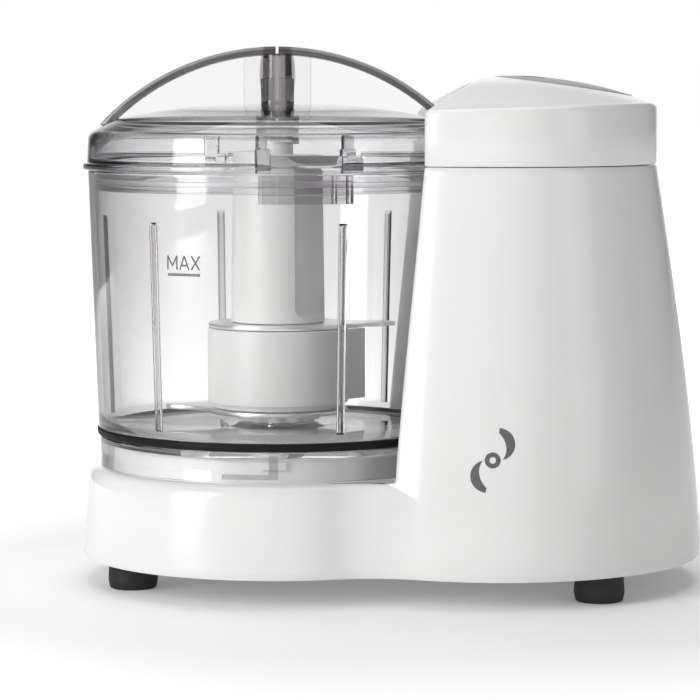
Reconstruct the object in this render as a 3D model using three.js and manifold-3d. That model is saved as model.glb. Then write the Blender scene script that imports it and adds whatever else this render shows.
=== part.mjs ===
// Mini food processor: a peanut-shaped base with a motor tower, a clear bowl and lid, a blade hub
// on a belt-driven spindle, and the motor, switches and fasteners inside.
// Millimetres, +Z up. The origin is the centre of the footprint at the height the feet stand on.
// The bowl axis is at -X, the tower is at +X and the front is -Y.

import * as THREE from "three";
import { mergeVertices } from "three/addons/utils/BufferGeometryUtils.js";
import Module from "manifold-3d";

const wasm = await Module();
wasm.setup();

// ---------- Driving dimensions ----------

const GAP = 0.3; // clearance between pieces that touch
const WALL = 2.4; // moulded housing wall

const BOWL_X = -42; // bowl, blade and spindle axis
const TOWER_X = 38; // axis of the round tower
const MOTOR_X = 64.5; // motor shaft axis, inside the tower

const FOOT_HEIGHT = 10;
const FOOT_RADIUS = 9;
const BASE_BOTTOM = FOOT_HEIGHT;
const LOBE_RADIUS = 72; // bowl end of the base at its bottom edge
const LOBE_TAPER = 0.07; // the lobe narrows by this much for each millimetre of height
const WAIST_RADIUS = 46; // hollow curve between the two lobes
const DECK_TOP = 43; // the bowl's skirt stands just above this
const DECK_EDGE_HEIGHT = 6; // rounded edge of the deck
const DECK_EDGE_INSET = 4.5;

const TOWER_FOOT_RADIUS = 76;
const TOWER_TOP_RADIUS = 59.1;
const TOWER_CURVE = 0.8; // power that shapes the tower's flare
const SEAM = 153.2; // top of the tower shell
const CAP_BOTTOM = SEAM + GAP;
const RECESS_TOP_RADIUS = 72.7; // hollow of the tower round the bowl axis
const RECESS_BOTTOM_RADIUS = 74.5;
const ROOF_CREST_X = 42; // where the cap's roof is highest
const ROOF_CREST = 185.4;
const ROOF_RADIUS = 150;

const BUTTON_X = 63;
const BUTTON_HALF_LENGTH = 26;
const BUTTON_HALF_WIDTH = 24;
const BUTTON_GAP = 0.7;
const BUTTON_TRAVEL = 3;

const PLATFORM_RADIUS = 60.5; // raised round platform that the bowl's skirt fits over
const PLATFORM_TOP = 51;
const SKIRT_RADIUS = 65.5;
const BOWL_WALL = 2.2;
const FLOOR_TOP = 56;
const RING_LOW = 54.3;
const RING_HIGH = 57.3;
const BOWL_RIM = 151.1;
const BOWL_FOOT_RADIUS = 66.3; // outside of the wall just above the ring
const BOWL_RIM_RADIUS = 69.6;
const RIB_TOP = 134;
const RIB_FIRST_ANGLE = 21; // degrees from the front towards the tower
const TUBE_TOP = 83; // top of the tube round the spindle, in the middle of the bowl's floor
const BAYONET_TURNS = [0, 120, 240];

const FLANGE_LOW = 151.4;
const FLANGE_HIGH = 153.9;
const FLANGE_RADIUS = 71.5;
const LID_WALL_RADIUS = 70.1;
const LID_SHOULDER = 163.5;
const LID_CROWN = 175.2; // top of the domed lid
const PLUG_LOW = 144.1;
const ARCH_RADIUS = 88.4;
const ARCH_TOP = 196.1;
const ARCH_RIM = 3;
const ARCH_RIM_WIDTH = 11;
const LATCH_ANGLE = 9.2; // the latch is this far round from the front, towards the tower
const LATCH_HALF_WIDTH = 16.7;
const LATCH_RADIUS = 73.6;

const HUB_LOW = 62;
const DRUM_RADIUS = 26;
const DRUM_TOP = 93.2;
const BLADE_REACH = 43.5;
const BLADE_THICKNESS = 1.5;
const COLUMN_FOOT_RADIUS = 17.3;
const COLUMN_TOP_RADIUS = 16.5;
const COLUMN_TOP = 157;
const HUB_PIN_RADIUS = 5.75;
const HUB_PIN_TOP = 165;

const SPINDLE_RADIUS = 4;
const COUPLING_RADIUS = 5;
const COUPLING_LOW = 84;
const COUPLING_TOP = 92;
const DRIVEN_PULLEY_RADIUS = 22;
const MOTOR_PULLEY_RADIUS = 7;
const BELT_LOW = 19;
const BELT_HIGH = 27;
const BELT_THICKNESS = 1.6;

const CRADLE_LOW = 46;
const CRADLE_HIGH = 49;
const SHAFT_RADIUS = 3;
const STATOR_LOW = 69;
const STATOR_HIGH = 98;
const BORE_RADIUS = 14.6;

// ---------- Materials ----------

function finish(color, roughness, metalness = 0) {
  return new THREE.MeshStandardMaterial({ color, roughness, metalness });
}

function clear(color, roughness) {
  return new THREE.MeshStandardMaterial({ color, roughness, transparent: true, opacity: 0.35 });
}

const WHITE = finish(0xf1f1ee, 0.25);
const GREY = finish(0xb9bbbb, 0.35);
const DARK = finish(0x3a3a3c, 0.5);
const BLACK_RUBBER = finish(0x151516, 0.8);
const CLEAR = clear(0xdcdce0, 0.1);
const OFF_WHITE = finish(0xdedcd5, 0.4);
const STEEL = finish(0xb8bcc0, 0.3, 1);
const LAMINATION = finish(0x5c6066, 0.55, 0.8);
const COPPER = finish(0xb5653a, 0.35, 0.9);
const BRONZE = finish(0x9a7746, 0.4, 0.9);
const NYLON = finish(0xe9e5d8, 0.5);
const CARBON = finish(0x26272a, 0.7);

// ---------- Solids ----------

const FULL_TURN = 2 * Math.PI;

function radians(degrees) {
  return (degrees * Math.PI) / 180;
}

function toSolid(geometry) {
  const bare = new THREE.BufferGeometry().setAttribute("position", geometry.getAttribute("position"));
  bare.setIndex(geometry.index);
  const merged = mergeVertices(bare, 1e-4);
  const triVerts = new Uint32Array(merged.index.array);
  const vertProperties = merged.attributes.position.array;
  const made = new wasm.Manifold(new wasm.Mesh({ numProp: 3, vertProperties, triVerts }));
  if (made.volume() > 0) return made;
  for (let i = 0; i < triVerts.length; i += 3) {
    [triVerts[i + 1], triVerts[i + 2]] = [triVerts[i + 2], triVerts[i + 1]];
  }
  return new wasm.Manifold(new wasm.Mesh({ numProp: 3, vertProperties, triVerts }));
}

function toGeometry(solid) {
  const mesh = solid.getMesh();
  const geometry = new THREE.BufferGeometry();
  geometry.setAttribute("position", new THREE.BufferAttribute(mesh.vertProperties, 3));
  geometry.setIndex(new THREE.BufferAttribute(mesh.triVerts, 1));
  geometry.computeVertexNormals();
  return geometry;
}

// A turned solid about the Z axis through (x, 0), from a closed [radius, height] profile.
function turned(profile, x = 0, segments = 48) {
  const points = [...profile, profile[0]].map(([r, z]) => new THREE.Vector2(r, z));
  const geometry = new THREE.LatheGeometry(points, segments);
  geometry.rotateX(Math.PI / 2);
  geometry.translate(x, 0, 0);
  return toSolid(geometry);
}

// A washer, tube or disc about the Z axis through (x, 0).
function tube(outer, inner, low, high, x = 0, segments = 48) {
  return turned([[inner, low], [outer, low], [outer, high], [inner, high]], x, segments);
}

function disc(radius, low, high, x = 0, y = 0, segments = 24) {
  const geometry = new THREE.CylinderGeometry(radius, radius, high - low, segments);
  geometry.rotateX(Math.PI / 2);
  geometry.translate(x, y, (low + high) / 2);
  return toSolid(geometry);
}

function block([x0, y0, z0], [x1, y1, z1]) {
  const geometry = new THREE.BoxGeometry(x1 - x0, y1 - y0, z1 - z0);
  geometry.translate((x0 + x1) / 2, (y0 + y1) / 2, (z0 + z1) / 2);
  return toSolid(geometry);
}

// An upright prism from a THREE.Shape or a list of [x, y] points.
function prism(outline, low, high, curveSegments = 16) {
  const isShape = outline instanceof THREE.Shape;
  const shape = isShape ? outline : new THREE.Shape(outline.map(([x, y]) => new THREE.Vector2(x, y)));
  const settings = { depth: high - low, bevelEnabled: false, curveSegments };
  const geometry = new THREE.ExtrudeGeometry(shape, settings);
  geometry.translate(0, 0, low);
  return toSolid(geometry);
}

// A solid skinned over a stack of outlines, each { z, points }, with the same number of points.
function lofted(stack) {
  const count = stack[0].points.length;
  const positions = [];
  for (const { z, points } of stack) {
    for (const [x, y] of points) positions.push(x, y, z);
  }
  const index = [];
  for (let level = 0; level + 1 < stack.length; level++) {
    for (let i = 0; i < count; i++) {
      const a = level * count + i;
      const b = level * count + ((i + 1) % count);
      index.push(a, b, b + count, a, b + count, a + count);
    }
  }
  const caps = [0, stack.length - 1].map((level) => {
    const contour = stack[level].points.map(([x, y]) => new THREE.Vector2(x, y));
    return THREE.ShapeUtils.triangulateShape(contour, []);
  });
  const top = (stack.length - 1) * count;
  for (const [a, b, c] of caps[0]) index.push(c, b, a);
  for (const [a, b, c] of caps[1]) index.push(top + a, top + b, top + c);
  const geometry = new THREE.BufferGeometry();
  geometry.setAttribute("position", new THREE.Float32BufferAttribute(positions, 3));
  geometry.setIndex(index);
  return toSolid(geometry);
}

function moved(solid, x, y, z) {
  const geometry = toGeometry(solid);
  geometry.translate(x, y, z);
  return toSolid(geometry);
}

// Turned about the vertical through (x, 0) by an angle in degrees, anticlockwise from above.
function swung(solid, degrees, x = 0) {
  const geometry = toGeometry(solid);
  geometry.translate(-x, 0, 0);
  geometry.rotateZ(radians(degrees));
  geometry.translate(x, 0, 0);
  return toSolid(geometry);
}

function joined(solids) {
  return solids.reduce((whole, next) => whole.add(next));
}

function cut(solid, tools) {
  return tools.reduce((left, tool) => left.subtract(tool), solid);
}

function ellipsePrism(x, halfLength, halfWidth, low, high, segments = 28) {
  const points = [];
  for (let i = 0; i < segments; i++) {
    const angle = (i / segments) * FULL_TURN;
    points.push([x + halfLength * Math.cos(angle), halfWidth * Math.sin(angle)]);
  }
  return prism(points, low, high);
}

// ---------- The object ----------

const processor = new THREE.Group();
processor.name = "mini_food_processor";

function addPart(name, solid, material) {
  const mesh = new THREE.Mesh(toGeometry(solid), material.clone());
  mesh.name = name;
  processor.add(mesh);
}

// ---------- Base and tower outlines ----------

function towerRadius(z) {
  const rise = THREE.MathUtils.clamp((z - BASE_BOTTOM) / (SEAM - BASE_BOTTOM), 0, 1);
  const flare = Math.cos((Math.PI / 2) * rise ** TOWER_CURVE);
  return TOWER_TOP_RADIUS + (TOWER_FOOT_RADIUS - TOWER_TOP_RADIUS) * flare;
}

function recessRadius(z) {
  const rise = (z - DECK_TOP) / (SEAM - DECK_TOP);
  return RECESS_BOTTOM_RADIUS + (RECESS_TOP_RADIUS - RECESS_BOTTOM_RADIUS) * rise;
}

function towerBody(inset, low, high) {
  const levels = inset ? 4 : 7;
  const wall = [];
  for (let i = 0; i < levels; i++) {
    const z = low + ((high - low) * i) / (levels - 1);
    wall.push([towerRadius(z) - inset, z]);
  }
  return turned([[0, low], ...wall, [0, high]], TOWER_X, inset ? 28 : 44);
}

// The round hollow that the bowl stands in, widened by a margin.
function recess(low, high, margin) {
  const wall = [low, high].map((z) => [recessRadius(z) - margin, z]);
  return turned([[0, low], ...wall, [0, high]], BOWL_X, 52);
}

// Outline of the base at height z, drawn in from its outside by an inset. The tower end stays
// inside the tower's own wall, which covers it.
function baseOutline(z, inset) {
  const lobe = LOBE_RADIUS - LOBE_TAPER * (z - BASE_BOTTOM);
  const tower = towerRadius(z);
  const span = TOWER_X - BOWL_X;
  const alongAxis = (span ** 2 + (lobe + WAIST_RADIUS) ** 2 - (tower + WAIST_RADIUS) ** 2) / (2 * span);
  const waistX = BOWL_X + alongAxis;
  const waistY = Math.sqrt((lobe + WAIST_RADIUS) ** 2 - alongAxis ** 2);
  const lobeEnd = Math.atan2(waistY, waistX - BOWL_X);
  const towerEnd = Math.atan2(waistY, waistX - TOWER_X);
  const points = [];
  const arc = (x, y, radius, from, to, steps) => {
    for (let i = 0; i <= steps; i++) {
      const angle = from + ((to - from) * i) / steps;
      points.push([x + radius * Math.cos(angle), y + radius * Math.sin(angle)]);
    }
  };
  const waist = WAIST_RADIUS + inset;
  arc(TOWER_X, 0, tower - inset - 1.2, -towerEnd, towerEnd, 8);
  arc(waistX, waistY, waist, towerEnd + Math.PI, lobeEnd + Math.PI, 4);
  arc(BOWL_X, 0, lobe - inset, lobeEnd + 0.01, FULL_TURN - lobeEnd - 0.01, 28);
  arc(waistX, -waistY, waist, Math.PI - lobeEnd, Math.PI - towerEnd, 4);
  return points;
}

function baseBody(inset, low, high, edgeSteps) {
  const stack = [{ z: low, points: baseOutline(Math.max(low, BASE_BOTTOM), inset) }];
  const edgeLow = high - DECK_EDGE_HEIGHT;
  for (let i = 0; i <= edgeSteps; i++) {
    const angle = (Math.PI / 2) * (i / edgeSteps);
    const z = edgeLow + DECK_EDGE_HEIGHT * Math.sin(angle);
    const roundedIn = DECK_EDGE_INSET * (1 - Math.cos(angle));
    stack.push({ z, points: baseOutline(z, inset + roundedIn) });
  }
  return lofted(stack);
}

// ---------- Housing ----------

const GLAND_ANGLE = 55; // degrees from +X towards the back
const GLAND_HEIGHT = 24;
const GLAND_HOLE = 6;
const GLAND_BORE = 3.6;
const GLAND_FLANGE = 8;
const GLAND_COLLAR = 7.4;
const GLAND_INNER_END = 69; // distances from the tower axis along the gland
const GLAND_COLLAR_END = 71.2;
const GLAND_FLANGE_START = 76.2;
const GLAND_FLANGE_END = 78.2;
const GLAND_OUTER_END = 80.5;
const SCREW_PLACES = [[-72, -46], [-72, 46], [91, -30], [91, 30]];
const FOOT_PLACES = [
  ["foot_front_left", -94.3, -24.3],
  ["foot_rear_left", -94.3, 24.3],
  ["foot_front_right", 72.9, -52.7],
  ["foot_rear_right", 72.9, 52.7],
];
const COVER_LOW = 10.6;
const COVER_HIGH = 13;
const COVER_CLEARANCE = 0.6; // cover to housing, all round
const SCREW_HEAD_RADIUS = 3.2;
const SCREW_SHANK_RADIUS = 1.4;
const SCREW_HEAD_LOW = 9.2;
const SCREW_HEAD_HIGH = 11.3;
const SCREW_END = 28;
const SCREW_SLOT_WIDTH = 0.8;
const SCREW_SLOT_LENGTH = 4;
const SCREW_BOSS_RADIUS = 4.2;
const TOWER_BOSS_TOP = 34; // bosses in the tower are braced to its wall by a web
const WEB_WIDTH = 5;
const WEB_LOW = 16;
const BUSH_RADIUS = 7.5;
const BUSH_BOSS_LOW = 32;
const BUSH_BOSS_RADIUS = 11;
const CENTRE_MOUND_FOOT = 22;
const CENTRE_MOUND_TOP = 14;
const LUG_LENGTH = 10;
const LUG_DEPTH = 1.2;
const LUG_LOW = 47.5;
const LUG_HIGH = 50.5;
const VENT_COUNT = 5;
const VENT_PITCH = 5;
const VENT_WIDTH = 2.2;
const VENT_LENGTH = 28;
const POST_RADIUS = 3.5;
const STUD_RADIUS = 3;
const FAR = 200; // reaches past the object from inside it

// A cylinder that points outwards from the tower axis at the gland.
function glandCylinder(radius, from, to) {
  const geometry = new THREE.CylinderGeometry(radius, radius, to - from, 12);
  geometry.rotateZ(-Math.PI / 2);
  geometry.translate((from + to) / 2, 0, GLAND_HEIGHT);
  geometry.rotateZ(radians(GLAND_ANGLE));
  geometry.translate(TOWER_X, 0, 0);
  return toSolid(geometry);
}

function makeScrewBoss([x, y]) {
  const onDeck = x < 0;
  const top = onDeck ? DECK_TOP - 1 : TOWER_BOSS_TOP;
  const post = disc(SCREW_BOSS_RADIUS, COVER_HIGH + GAP, top, x, y, 10);
  if (onDeck) return post;
  const webLow = y > 0 ? y : y - WEB_WIDTH;
  const web = block([x + 2, webLow, WEB_LOW], [x + 11, webLow + WEB_WIDTH, TOWER_BOSS_TOP]);
  return post.add(web.intersect(towerBody(WALL / 2, BASE_BOTTOM, SEAM)));
}

// One of the three lugs on the platform that the bowl's rails turn under.
function makePlatformLug(angle) {
  const band = tube(PLATFORM_RADIUS + LUG_DEPTH, PLATFORM_RADIUS - 1, LUG_LOW, LUG_HIGH, BOWL_X, 32);
  const sector = block(
    [BOWL_X + PLATFORM_RADIUS - 10, -LUG_LENGTH / 2, LUG_LOW - 1],
    [BOWL_X + PLATFORM_RADIUS + 10, LUG_LENGTH / 2, LUG_HIGH + 1],
  );
  return swung(band.intersect(sector), angle - 60, BOWL_X);
}

function makeHousing() {
  const tower = towerBody(0, BASE_BOTTOM, SEAM).subtract(recess(DECK_TOP, SEAM + 1, 0));
  const outside = tower.add(baseBody(0, BASE_BOTTOM, DECK_TOP, 3));
  const towerHollow = towerBody(WALL, BASE_BOTTOM - 1, SEAM + 1).subtract(
    recess(DECK_TOP - WALL, SEAM + 2, -WALL),
  );
  const inside = towerHollow.add(baseBody(WALL, BASE_BOTTOM - 1, DECK_TOP - WALL, 1));
  const rootHeight = DECK_TOP - 1; // pieces that stand on the deck start inside it
  const platform = tube(PLATFORM_RADIUS, PLATFORM_RADIUS - WALL, rootHeight, PLATFORM_TOP, BOWL_X, 32);
  const centreBoss = turned(
    [
      [BUSH_RADIUS + GAP, BUSH_BOSS_LOW],
      [BUSH_BOSS_RADIUS, BUSH_BOSS_LOW],
      [BUSH_BOSS_RADIUS, rootHeight],
      [CENTRE_MOUND_FOOT, rootHeight],
      [CENTRE_MOUND_TOP, PLATFORM_TOP],
      [BUSH_RADIUS + GAP, PLATFORM_TOP],
    ],
    BOWL_X,
    20,
  );
  const lugs = BAYONET_TURNS.map(makePlatformLug);
  const shell = outside.subtract(inside);
  const spindleHole = disc(BUSH_RADIUS + GAP, BUSH_BOSS_LOW - 2, PLATFORM_TOP + 2, BOWL_X);
  const solid = joined([
    shell.subtract(spindleHole),
    ...SCREW_PLACES.map(makeScrewBoss),
    platform,
    centreBoss,
    ...lugs,
  ]);
  const screwHoles = SCREW_PLACES.map(([x, y]) =>
    disc(SCREW_SHANK_RADIUS + GAP, BASE_BOTTOM, SCREW_END + 2, x, y, 8),
  );
  const glandHole = glandCylinder(GLAND_HOLE + GAP, GLAND_INNER_END - 9, GLAND_OUTER_END + 9);
  return cut(solid, [...screwHoles, glandHole]);
}

function makeBottomCover() {
  const inset = WALL + COVER_CLEARANCE;
  const outline = baseBody(inset, COVER_LOW, DECK_TOP - WALL, 1);
  const tower = towerBody(inset, BASE_BOTTOM, SEAM);
  const slab = block([-FAR, -FAR, COVER_LOW], [FAR, FAR, COVER_HIGH]);
  const plate = outline.add(tower).intersect(slab);
  const below = COVER_LOW - 1;
  const above = COVER_HIGH + 3;
  const posts = CRADLE_POSTS.map(([x, y]) => disc(POST_RADIUS, COVER_LOW + 1, CRADLE_LOW - GAP, x, y, 8));
  const holes = SCREW_PLACES.map(([x, y]) => disc(SCREW_SHANK_RADIUS + GAP, below, above, x, y, 8));
  const sinks = SCREW_PLACES.map(([x, y]) =>
    disc(SCREW_HEAD_RADIUS + GAP, below, SCREW_HEAD_HIGH + GAP, x, y, 10),
  );
  const studHoles = FOOT_PLACES.map(([, x, y]) => disc(STUD_RADIUS + GAP, below, above, x, y, 8));
  const vents = [];
  for (let i = 0; i < VENT_COUNT; i++) {
    const y = (i - (VENT_COUNT - 1) / 2) * VENT_PITCH;
    vents.push(
      block(
        [MOTOR_X - VENT_LENGTH / 2, y - VENT_WIDTH / 2, below],
        [MOTOR_X + VENT_LENGTH / 2, y + VENT_WIDTH / 2, above],
      ),
    );
  }
  return cut(joined([plate, ...posts]), [...holes, ...sinks, ...studHoles, ...vents]);
}

function makeFoot(x, y) {
  const top = COVER_LOW - GAP;
  const profile = [[0, 0], [FOOT_RADIUS - 1, 0], [FOOT_RADIUS, 1.2], [FOOT_RADIUS - 0.4, top], [0, top]];
  const pad = turned(profile, 0, 16);
  const stud = disc(STUD_RADIUS, top - 1, COVER_HIGH + 1.5, 0, 0, 8);
  return moved(pad.add(stud), x, y, 0);
}

function makeScrew(x, y) {
  const head = turned(
    [
      [0, SCREW_HEAD_LOW],
      [SCREW_HEAD_RADIUS - 0.8, SCREW_HEAD_LOW],
      [SCREW_HEAD_RADIUS, SCREW_HEAD_LOW + 0.8],
      [SCREW_HEAD_RADIUS, SCREW_HEAD_HIGH],
      [0, SCREW_HEAD_HIGH],
    ],
    0,
    10,
  );
  const shank = disc(SCREW_SHANK_RADIUS, SCREW_HEAD_HIGH - GAP, SCREW_END, 0, 0, 6);
  const slot = block(
    [-SCREW_SLOT_LENGTH / 2, -SCREW_SLOT_WIDTH / 2, SCREW_HEAD_LOW - 1],
    [SCREW_SLOT_LENGTH / 2, SCREW_SLOT_WIDTH / 2, SCREW_HEAD_LOW + 1],
  );
  return moved(head.add(shank).subtract(slot), x, y, 0);
}

function makeCordGland() {
  const bore = glandCylinder(GLAND_BORE, GLAND_INNER_END - 1, GLAND_OUTER_END + 1);
  const sleeve = glandCylinder(GLAND_HOLE, GLAND_INNER_END, GLAND_OUTER_END);
  const flange = glandCylinder(GLAND_FLANGE, GLAND_FLANGE_START, GLAND_FLANGE_END);
  const collar = glandCylinder(GLAND_COLLAR, GLAND_INNER_END, GLAND_COLLAR_END);
  return joined([sleeve, flange, collar]).subtract(bore);
}

// ---------- Cap and button ----------

const WELL_LOW = 167; // the button's lip stops against the underside of the well
const WELL_WALL = 1.8;
const BUTTON_LIP_LOW = 165;
const BUTTON_LIP_HIGH = WELL_LOW - GAP;
const BUTTON_SHELL = 2;
const BUTTON_PROUD = 0.3; // the button's top stands this much above the roof
const STEM_RADIUS = 3;
const STEM_TOP = 183;
const INLAY_X = 51;
const INLAY_LOW = 184.6;
const INLAY_HALF_LENGTH = 6.2;
const INLAY_HALF_WIDTH = 9.7;
const INLAY_PROUD = 0.5;
const SWITCH_TOP = 154;
const SPRING_RADIUS = 5;
const SPRING_WIRE = 0.4;
const SPRING_LOW = SWITCH_TOP - 1.5;
const SPRING_HIGH = 172;
const SPRING_TURNS = 5;
const COLLAR_THICKNESS = 2; // collar of the button's stem that the spring pushes up against
const BRACKET_PLACES = [[44, 34], [44, -34]];
const BRACKET_HIGH = SWITCH_TOP - 12;
const BRACKET_THICKNESS = 2.2;
const CAP_POST_TOP = 182;
const LIP_DEPTH = 4; // the cap's locating lip reaches this far into the tower
const LIP_WALL = 1.6;
const PLUNGER_HEIGHT = 157.3;
const PLUNGER_RADIUS = 2;
const PLUNGER_COLLAR_RADIUS = 3.2;
const CAM_RADIUS = 71.3;
const CAM_HALF_WIDTH = 2.5; // narrow, so that the plunger is clear of it after four degrees of turn
const CAM_LOW = 154;
const CAM_HIGH = 161;
const PLUNGER_TIP = BOWL_X + CAM_RADIUS + GAP;
const INTERLOCK_SWITCH_X = 42;
const INTERLOCK_SWITCH_HALF_WIDTH = 9;

function roofHeight(x, y, inset = 0) {
  const away = (x - ROOF_CREST_X) ** 2 + y ** 2;
  return ROOF_CREST - ROOF_RADIUS + Math.sqrt((ROOF_RADIUS - inset) ** 2 - away);
}

// Everything under the roof, drawn in by an inset, as rings round the tower axis.
function underRoof(radius, inset, low) {
  const rings = [0, 0.4, 0.75, 1].map((share) => share * radius);
  const segments = inset > 0 ? 24 : 44;
  const positions = [TOWER_X, 0, roofHeight(TOWER_X, 0, inset)];
  for (const r of rings.slice(1)) {
    for (let i = 0; i < segments; i++) {
      const x = TOWER_X + r * Math.cos((i / segments) * FULL_TURN);
      const y = r * Math.sin((i / segments) * FULL_TURN);
      positions.push(x, y, roofHeight(x, y, inset));
    }
  }
  const rim = rings.length - 2;
  for (let i = 0; i < segments; i++) {
    const angle = (i / segments) * FULL_TURN;
    positions.push(TOWER_X + radius * Math.cos(angle), radius * Math.sin(angle), low);
  }
  positions.push(TOWER_X, 0, low);
  const last = positions.length / 3 - 1;
  const at = (ring, i) => 1 + ring * segments + (i % segments);
  const index = [];
  for (let i = 0; i < segments; i++) {
    index.push(0, at(0, i), at(0, i + 1));
    for (let ring = 0; ring <= rim; ring++) {
      index.push(at(ring, i), at(ring + 1, i), at(ring + 1, i + 1));
      index.push(at(ring, i), at(ring + 1, i + 1), at(ring, i + 1));
    }
    index.push(at(rim + 1, i), last, at(rim + 1, i + 1));
  }
  const geometry = new THREE.BufferGeometry();
  geometry.setAttribute("position", new THREE.Float32BufferAttribute(positions, 3));
  geometry.setIndex(index);
  return toSolid(geometry);
}

// Outline of the cap: the tower's circle less the bowl recess, as an upright prism.
function capPrism(inset, low, high) {
  const round = disc(TOWER_TOP_RADIUS - inset, low, high, TOWER_X, 0, 28);
  return round.subtract(recess(low - 1, high + 1, -inset));
}

function makeCap() {
  const outside = underRoof(TOWER_TOP_RADIUS, 0, CAP_BOTTOM).subtract(recess(SEAM - 10, FAR, 0));
  const inside = underRoof(TOWER_TOP_RADIUS - WALL, WALL, CAP_BOTTOM - 1).subtract(
    recess(SEAM - 10, FAR, -WALL),
  );
  const lipInside = capPrism(WALL + GAP + LIP_WALL, SEAM - LIP_DEPTH - 1, CAP_BOTTOM + LIP_DEPTH);
  const lip = capPrism(WALL + GAP, SEAM - LIP_DEPTH, CAP_BOTTOM + 3).subtract(lipInside);
  const lipShoulder = capPrism(WALL - 0.5, CAP_BOTTOM + 0.5, CAP_BOTTOM + 3).subtract(lipInside);
  const holeLength = BUTTON_HALF_LENGTH + BUTTON_GAP;
  const holeWidth = BUTTON_HALF_WIDTH + BUTTON_GAP;
  const wellHole = ellipsePrism(BUTTON_X, holeLength, holeWidth, WELL_LOW - 2, FAR);
  const well = ellipsePrism(BUTTON_X, holeLength + WELL_WALL, holeWidth + WELL_WALL, WELL_LOW, FAR);
  const posts = BRACKET_PLACES.map(([x, y]) =>
    disc(POST_RADIUS, SWITCH_TOP, CAP_POST_TOP, x, y, 12).intersect(underRoof(TOWER_TOP_RADIUS - 1, 1, 140)),
  );
  const recessWall = BOWL_X + RECESS_TOP_RADIUS;
  const plungerBore = rodAlongX(PLUNGER_RADIUS + GAP, recessWall - 8, recessWall + 8);
  const shell = outside.subtract(inside);
  return cut(joined([shell, lip, lipShoulder, well.intersect(outside), ...posts]), [wellHole, plungerBore]);
}

function makeButton() {
  const length = BUTTON_HALF_LENGTH;
  const width = BUTTON_HALF_WIDTH;
  const top = underRoof(TOWER_TOP_RADIUS, -BUTTON_PROUD, CAP_BOTTOM);
  const body = ellipsePrism(BUTTON_X, length, width, BUTTON_LIP_LOW, FAR).intersect(top);
  const lip = ellipsePrism(BUTTON_X, length + WELL_WALL, width + WELL_WALL, BUTTON_LIP_LOW, BUTTON_LIP_HIGH);
  const hollow = ellipsePrism(BUTTON_X, length - BUTTON_SHELL, width - BUTTON_SHELL, BUTTON_LIP_LOW - 5, FAR);
  const under = underRoof(TOWER_TOP_RADIUS, BUTTON_SHELL, CAP_BOTTOM);
  const stem = disc(STEM_RADIUS, SWITCH_TOP + BUTTON_TRAVEL + 0.5, STEM_TOP, BUTTON_X, 0, 12);
  const collarLow = SPRING_HIGH + GAP;
  const collar = disc(SPRING_RADIUS + 1, collarLow, collarLow + COLLAR_THICKNESS, BUTTON_X, 0, 16);
  const seat = ellipsePrism(INLAY_X, INLAY_HALF_LENGTH + GAP, INLAY_HALF_WIDTH + GAP, INLAY_LOW - GAP, FAR);
  return joined([body.add(lip).subtract(hollow.intersect(under)), stem, collar]).subtract(seat);
}

function makeInlay() {
  const column = ellipsePrism(INLAY_X, INLAY_HALF_LENGTH, INLAY_HALF_WIDTH, INLAY_LOW, FAR);
  return column.intersect(underRoof(TOWER_TOP_RADIUS, -INLAY_PROUD, CAP_BOTTOM));
}

// A coil spring about the Z axis through (x, 0).
function makeSpring(x) {
  const rise = SPRING_HIGH - SPRING_LOW - 2 * SPRING_WIRE;
  class Helix extends THREE.Curve {
    getPoint(t, target = new THREE.Vector3()) {
      const angle = t * SPRING_TURNS * FULL_TURN;
      const height = SPRING_LOW + SPRING_WIRE + rise * t;
      return target.set(x + SPRING_RADIUS * Math.cos(angle), SPRING_RADIUS * Math.sin(angle), height);
    }
  }
  const section = new THREE.Shape();
  section.absarc(0, 0, SPRING_WIRE, 0, FULL_TURN);
  const geometry = new THREE.ExtrudeGeometry(section, {
    steps: SPRING_TURNS * 8,
    curveSegments: 2,
    extrudePath: new Helix(),
  });
  return toSolid(geometry);
}

function makeSwitchBracket() {
  const low = BRACKET_HIGH - BRACKET_THICKNESS;
  const bar = block([38, -38, low], [50, 38, BRACKET_HIGH]);
  const arm = block([48, -12, low], [BUTTON_X + 13, 12, BRACKET_HIGH]);
  const posts = BRACKET_PLACES.map(([x, y]) =>
    disc(POST_RADIUS, BRACKET_HIGH - 1, SWITCH_TOP - GAP, x, y, 12),
  );
  return joined([bar, arm, ...posts]);
}

function makePulseSwitch() {
  const body = block([BUTTON_X - 10, -4, BRACKET_HIGH + GAP], [BUTTON_X + 10, 4, SWITCH_TOP - 2]);
  const key = block([BUTTON_X - 2, -2, SWITCH_TOP - 3], [BUTTON_X + 2, 2, SWITCH_TOP]);
  const tabLow = BRACKET_HIGH + 3;
  const tabs = [-6, 6].map((x) =>
    block([BUTTON_X + x - 1.5, 3, tabLow], [BUTTON_X + x + 1.5, 9, tabLow + 0.8]),
  );
  return joined([body, key, ...tabs]);
}

// A round rod along X at the plunger's height.
function rodAlongX(radius, from, to) {
  const geometry = new THREE.CylinderGeometry(radius, radius, to - from, 12);
  geometry.rotateZ(Math.PI / 2);
  geometry.translate((from + to) / 2, 0, PLUNGER_HEIGHT);
  return toSolid(geometry);
}

function makePlunger() {
  const rod = rodAlongX(PLUNGER_RADIUS, PLUNGER_TIP, INTERLOCK_SWITCH_X - 1);
  const collarEnd = INTERLOCK_SWITCH_X - 3.6;
  const collar = rodAlongX(PLUNGER_COLLAR_RADIUS, collarEnd - 1.2, collarEnd);
  return rod.add(collar);
}

function makeInterlockSwitch() {
  const x = INTERLOCK_SWITCH_X;
  const side = INTERLOCK_SWITCH_HALF_WIDTH;
  const body = block([x, -side, PLUNGER_HEIGHT - 5], [x + 7, side, PLUNGER_HEIGHT + 4]);
  const foot = block([x, -side, BRACKET_HIGH + GAP], [x + 3, side, PLUNGER_HEIGHT - 4]);
  return body.add(foot);
}

// ---------- Bowl ----------

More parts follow.
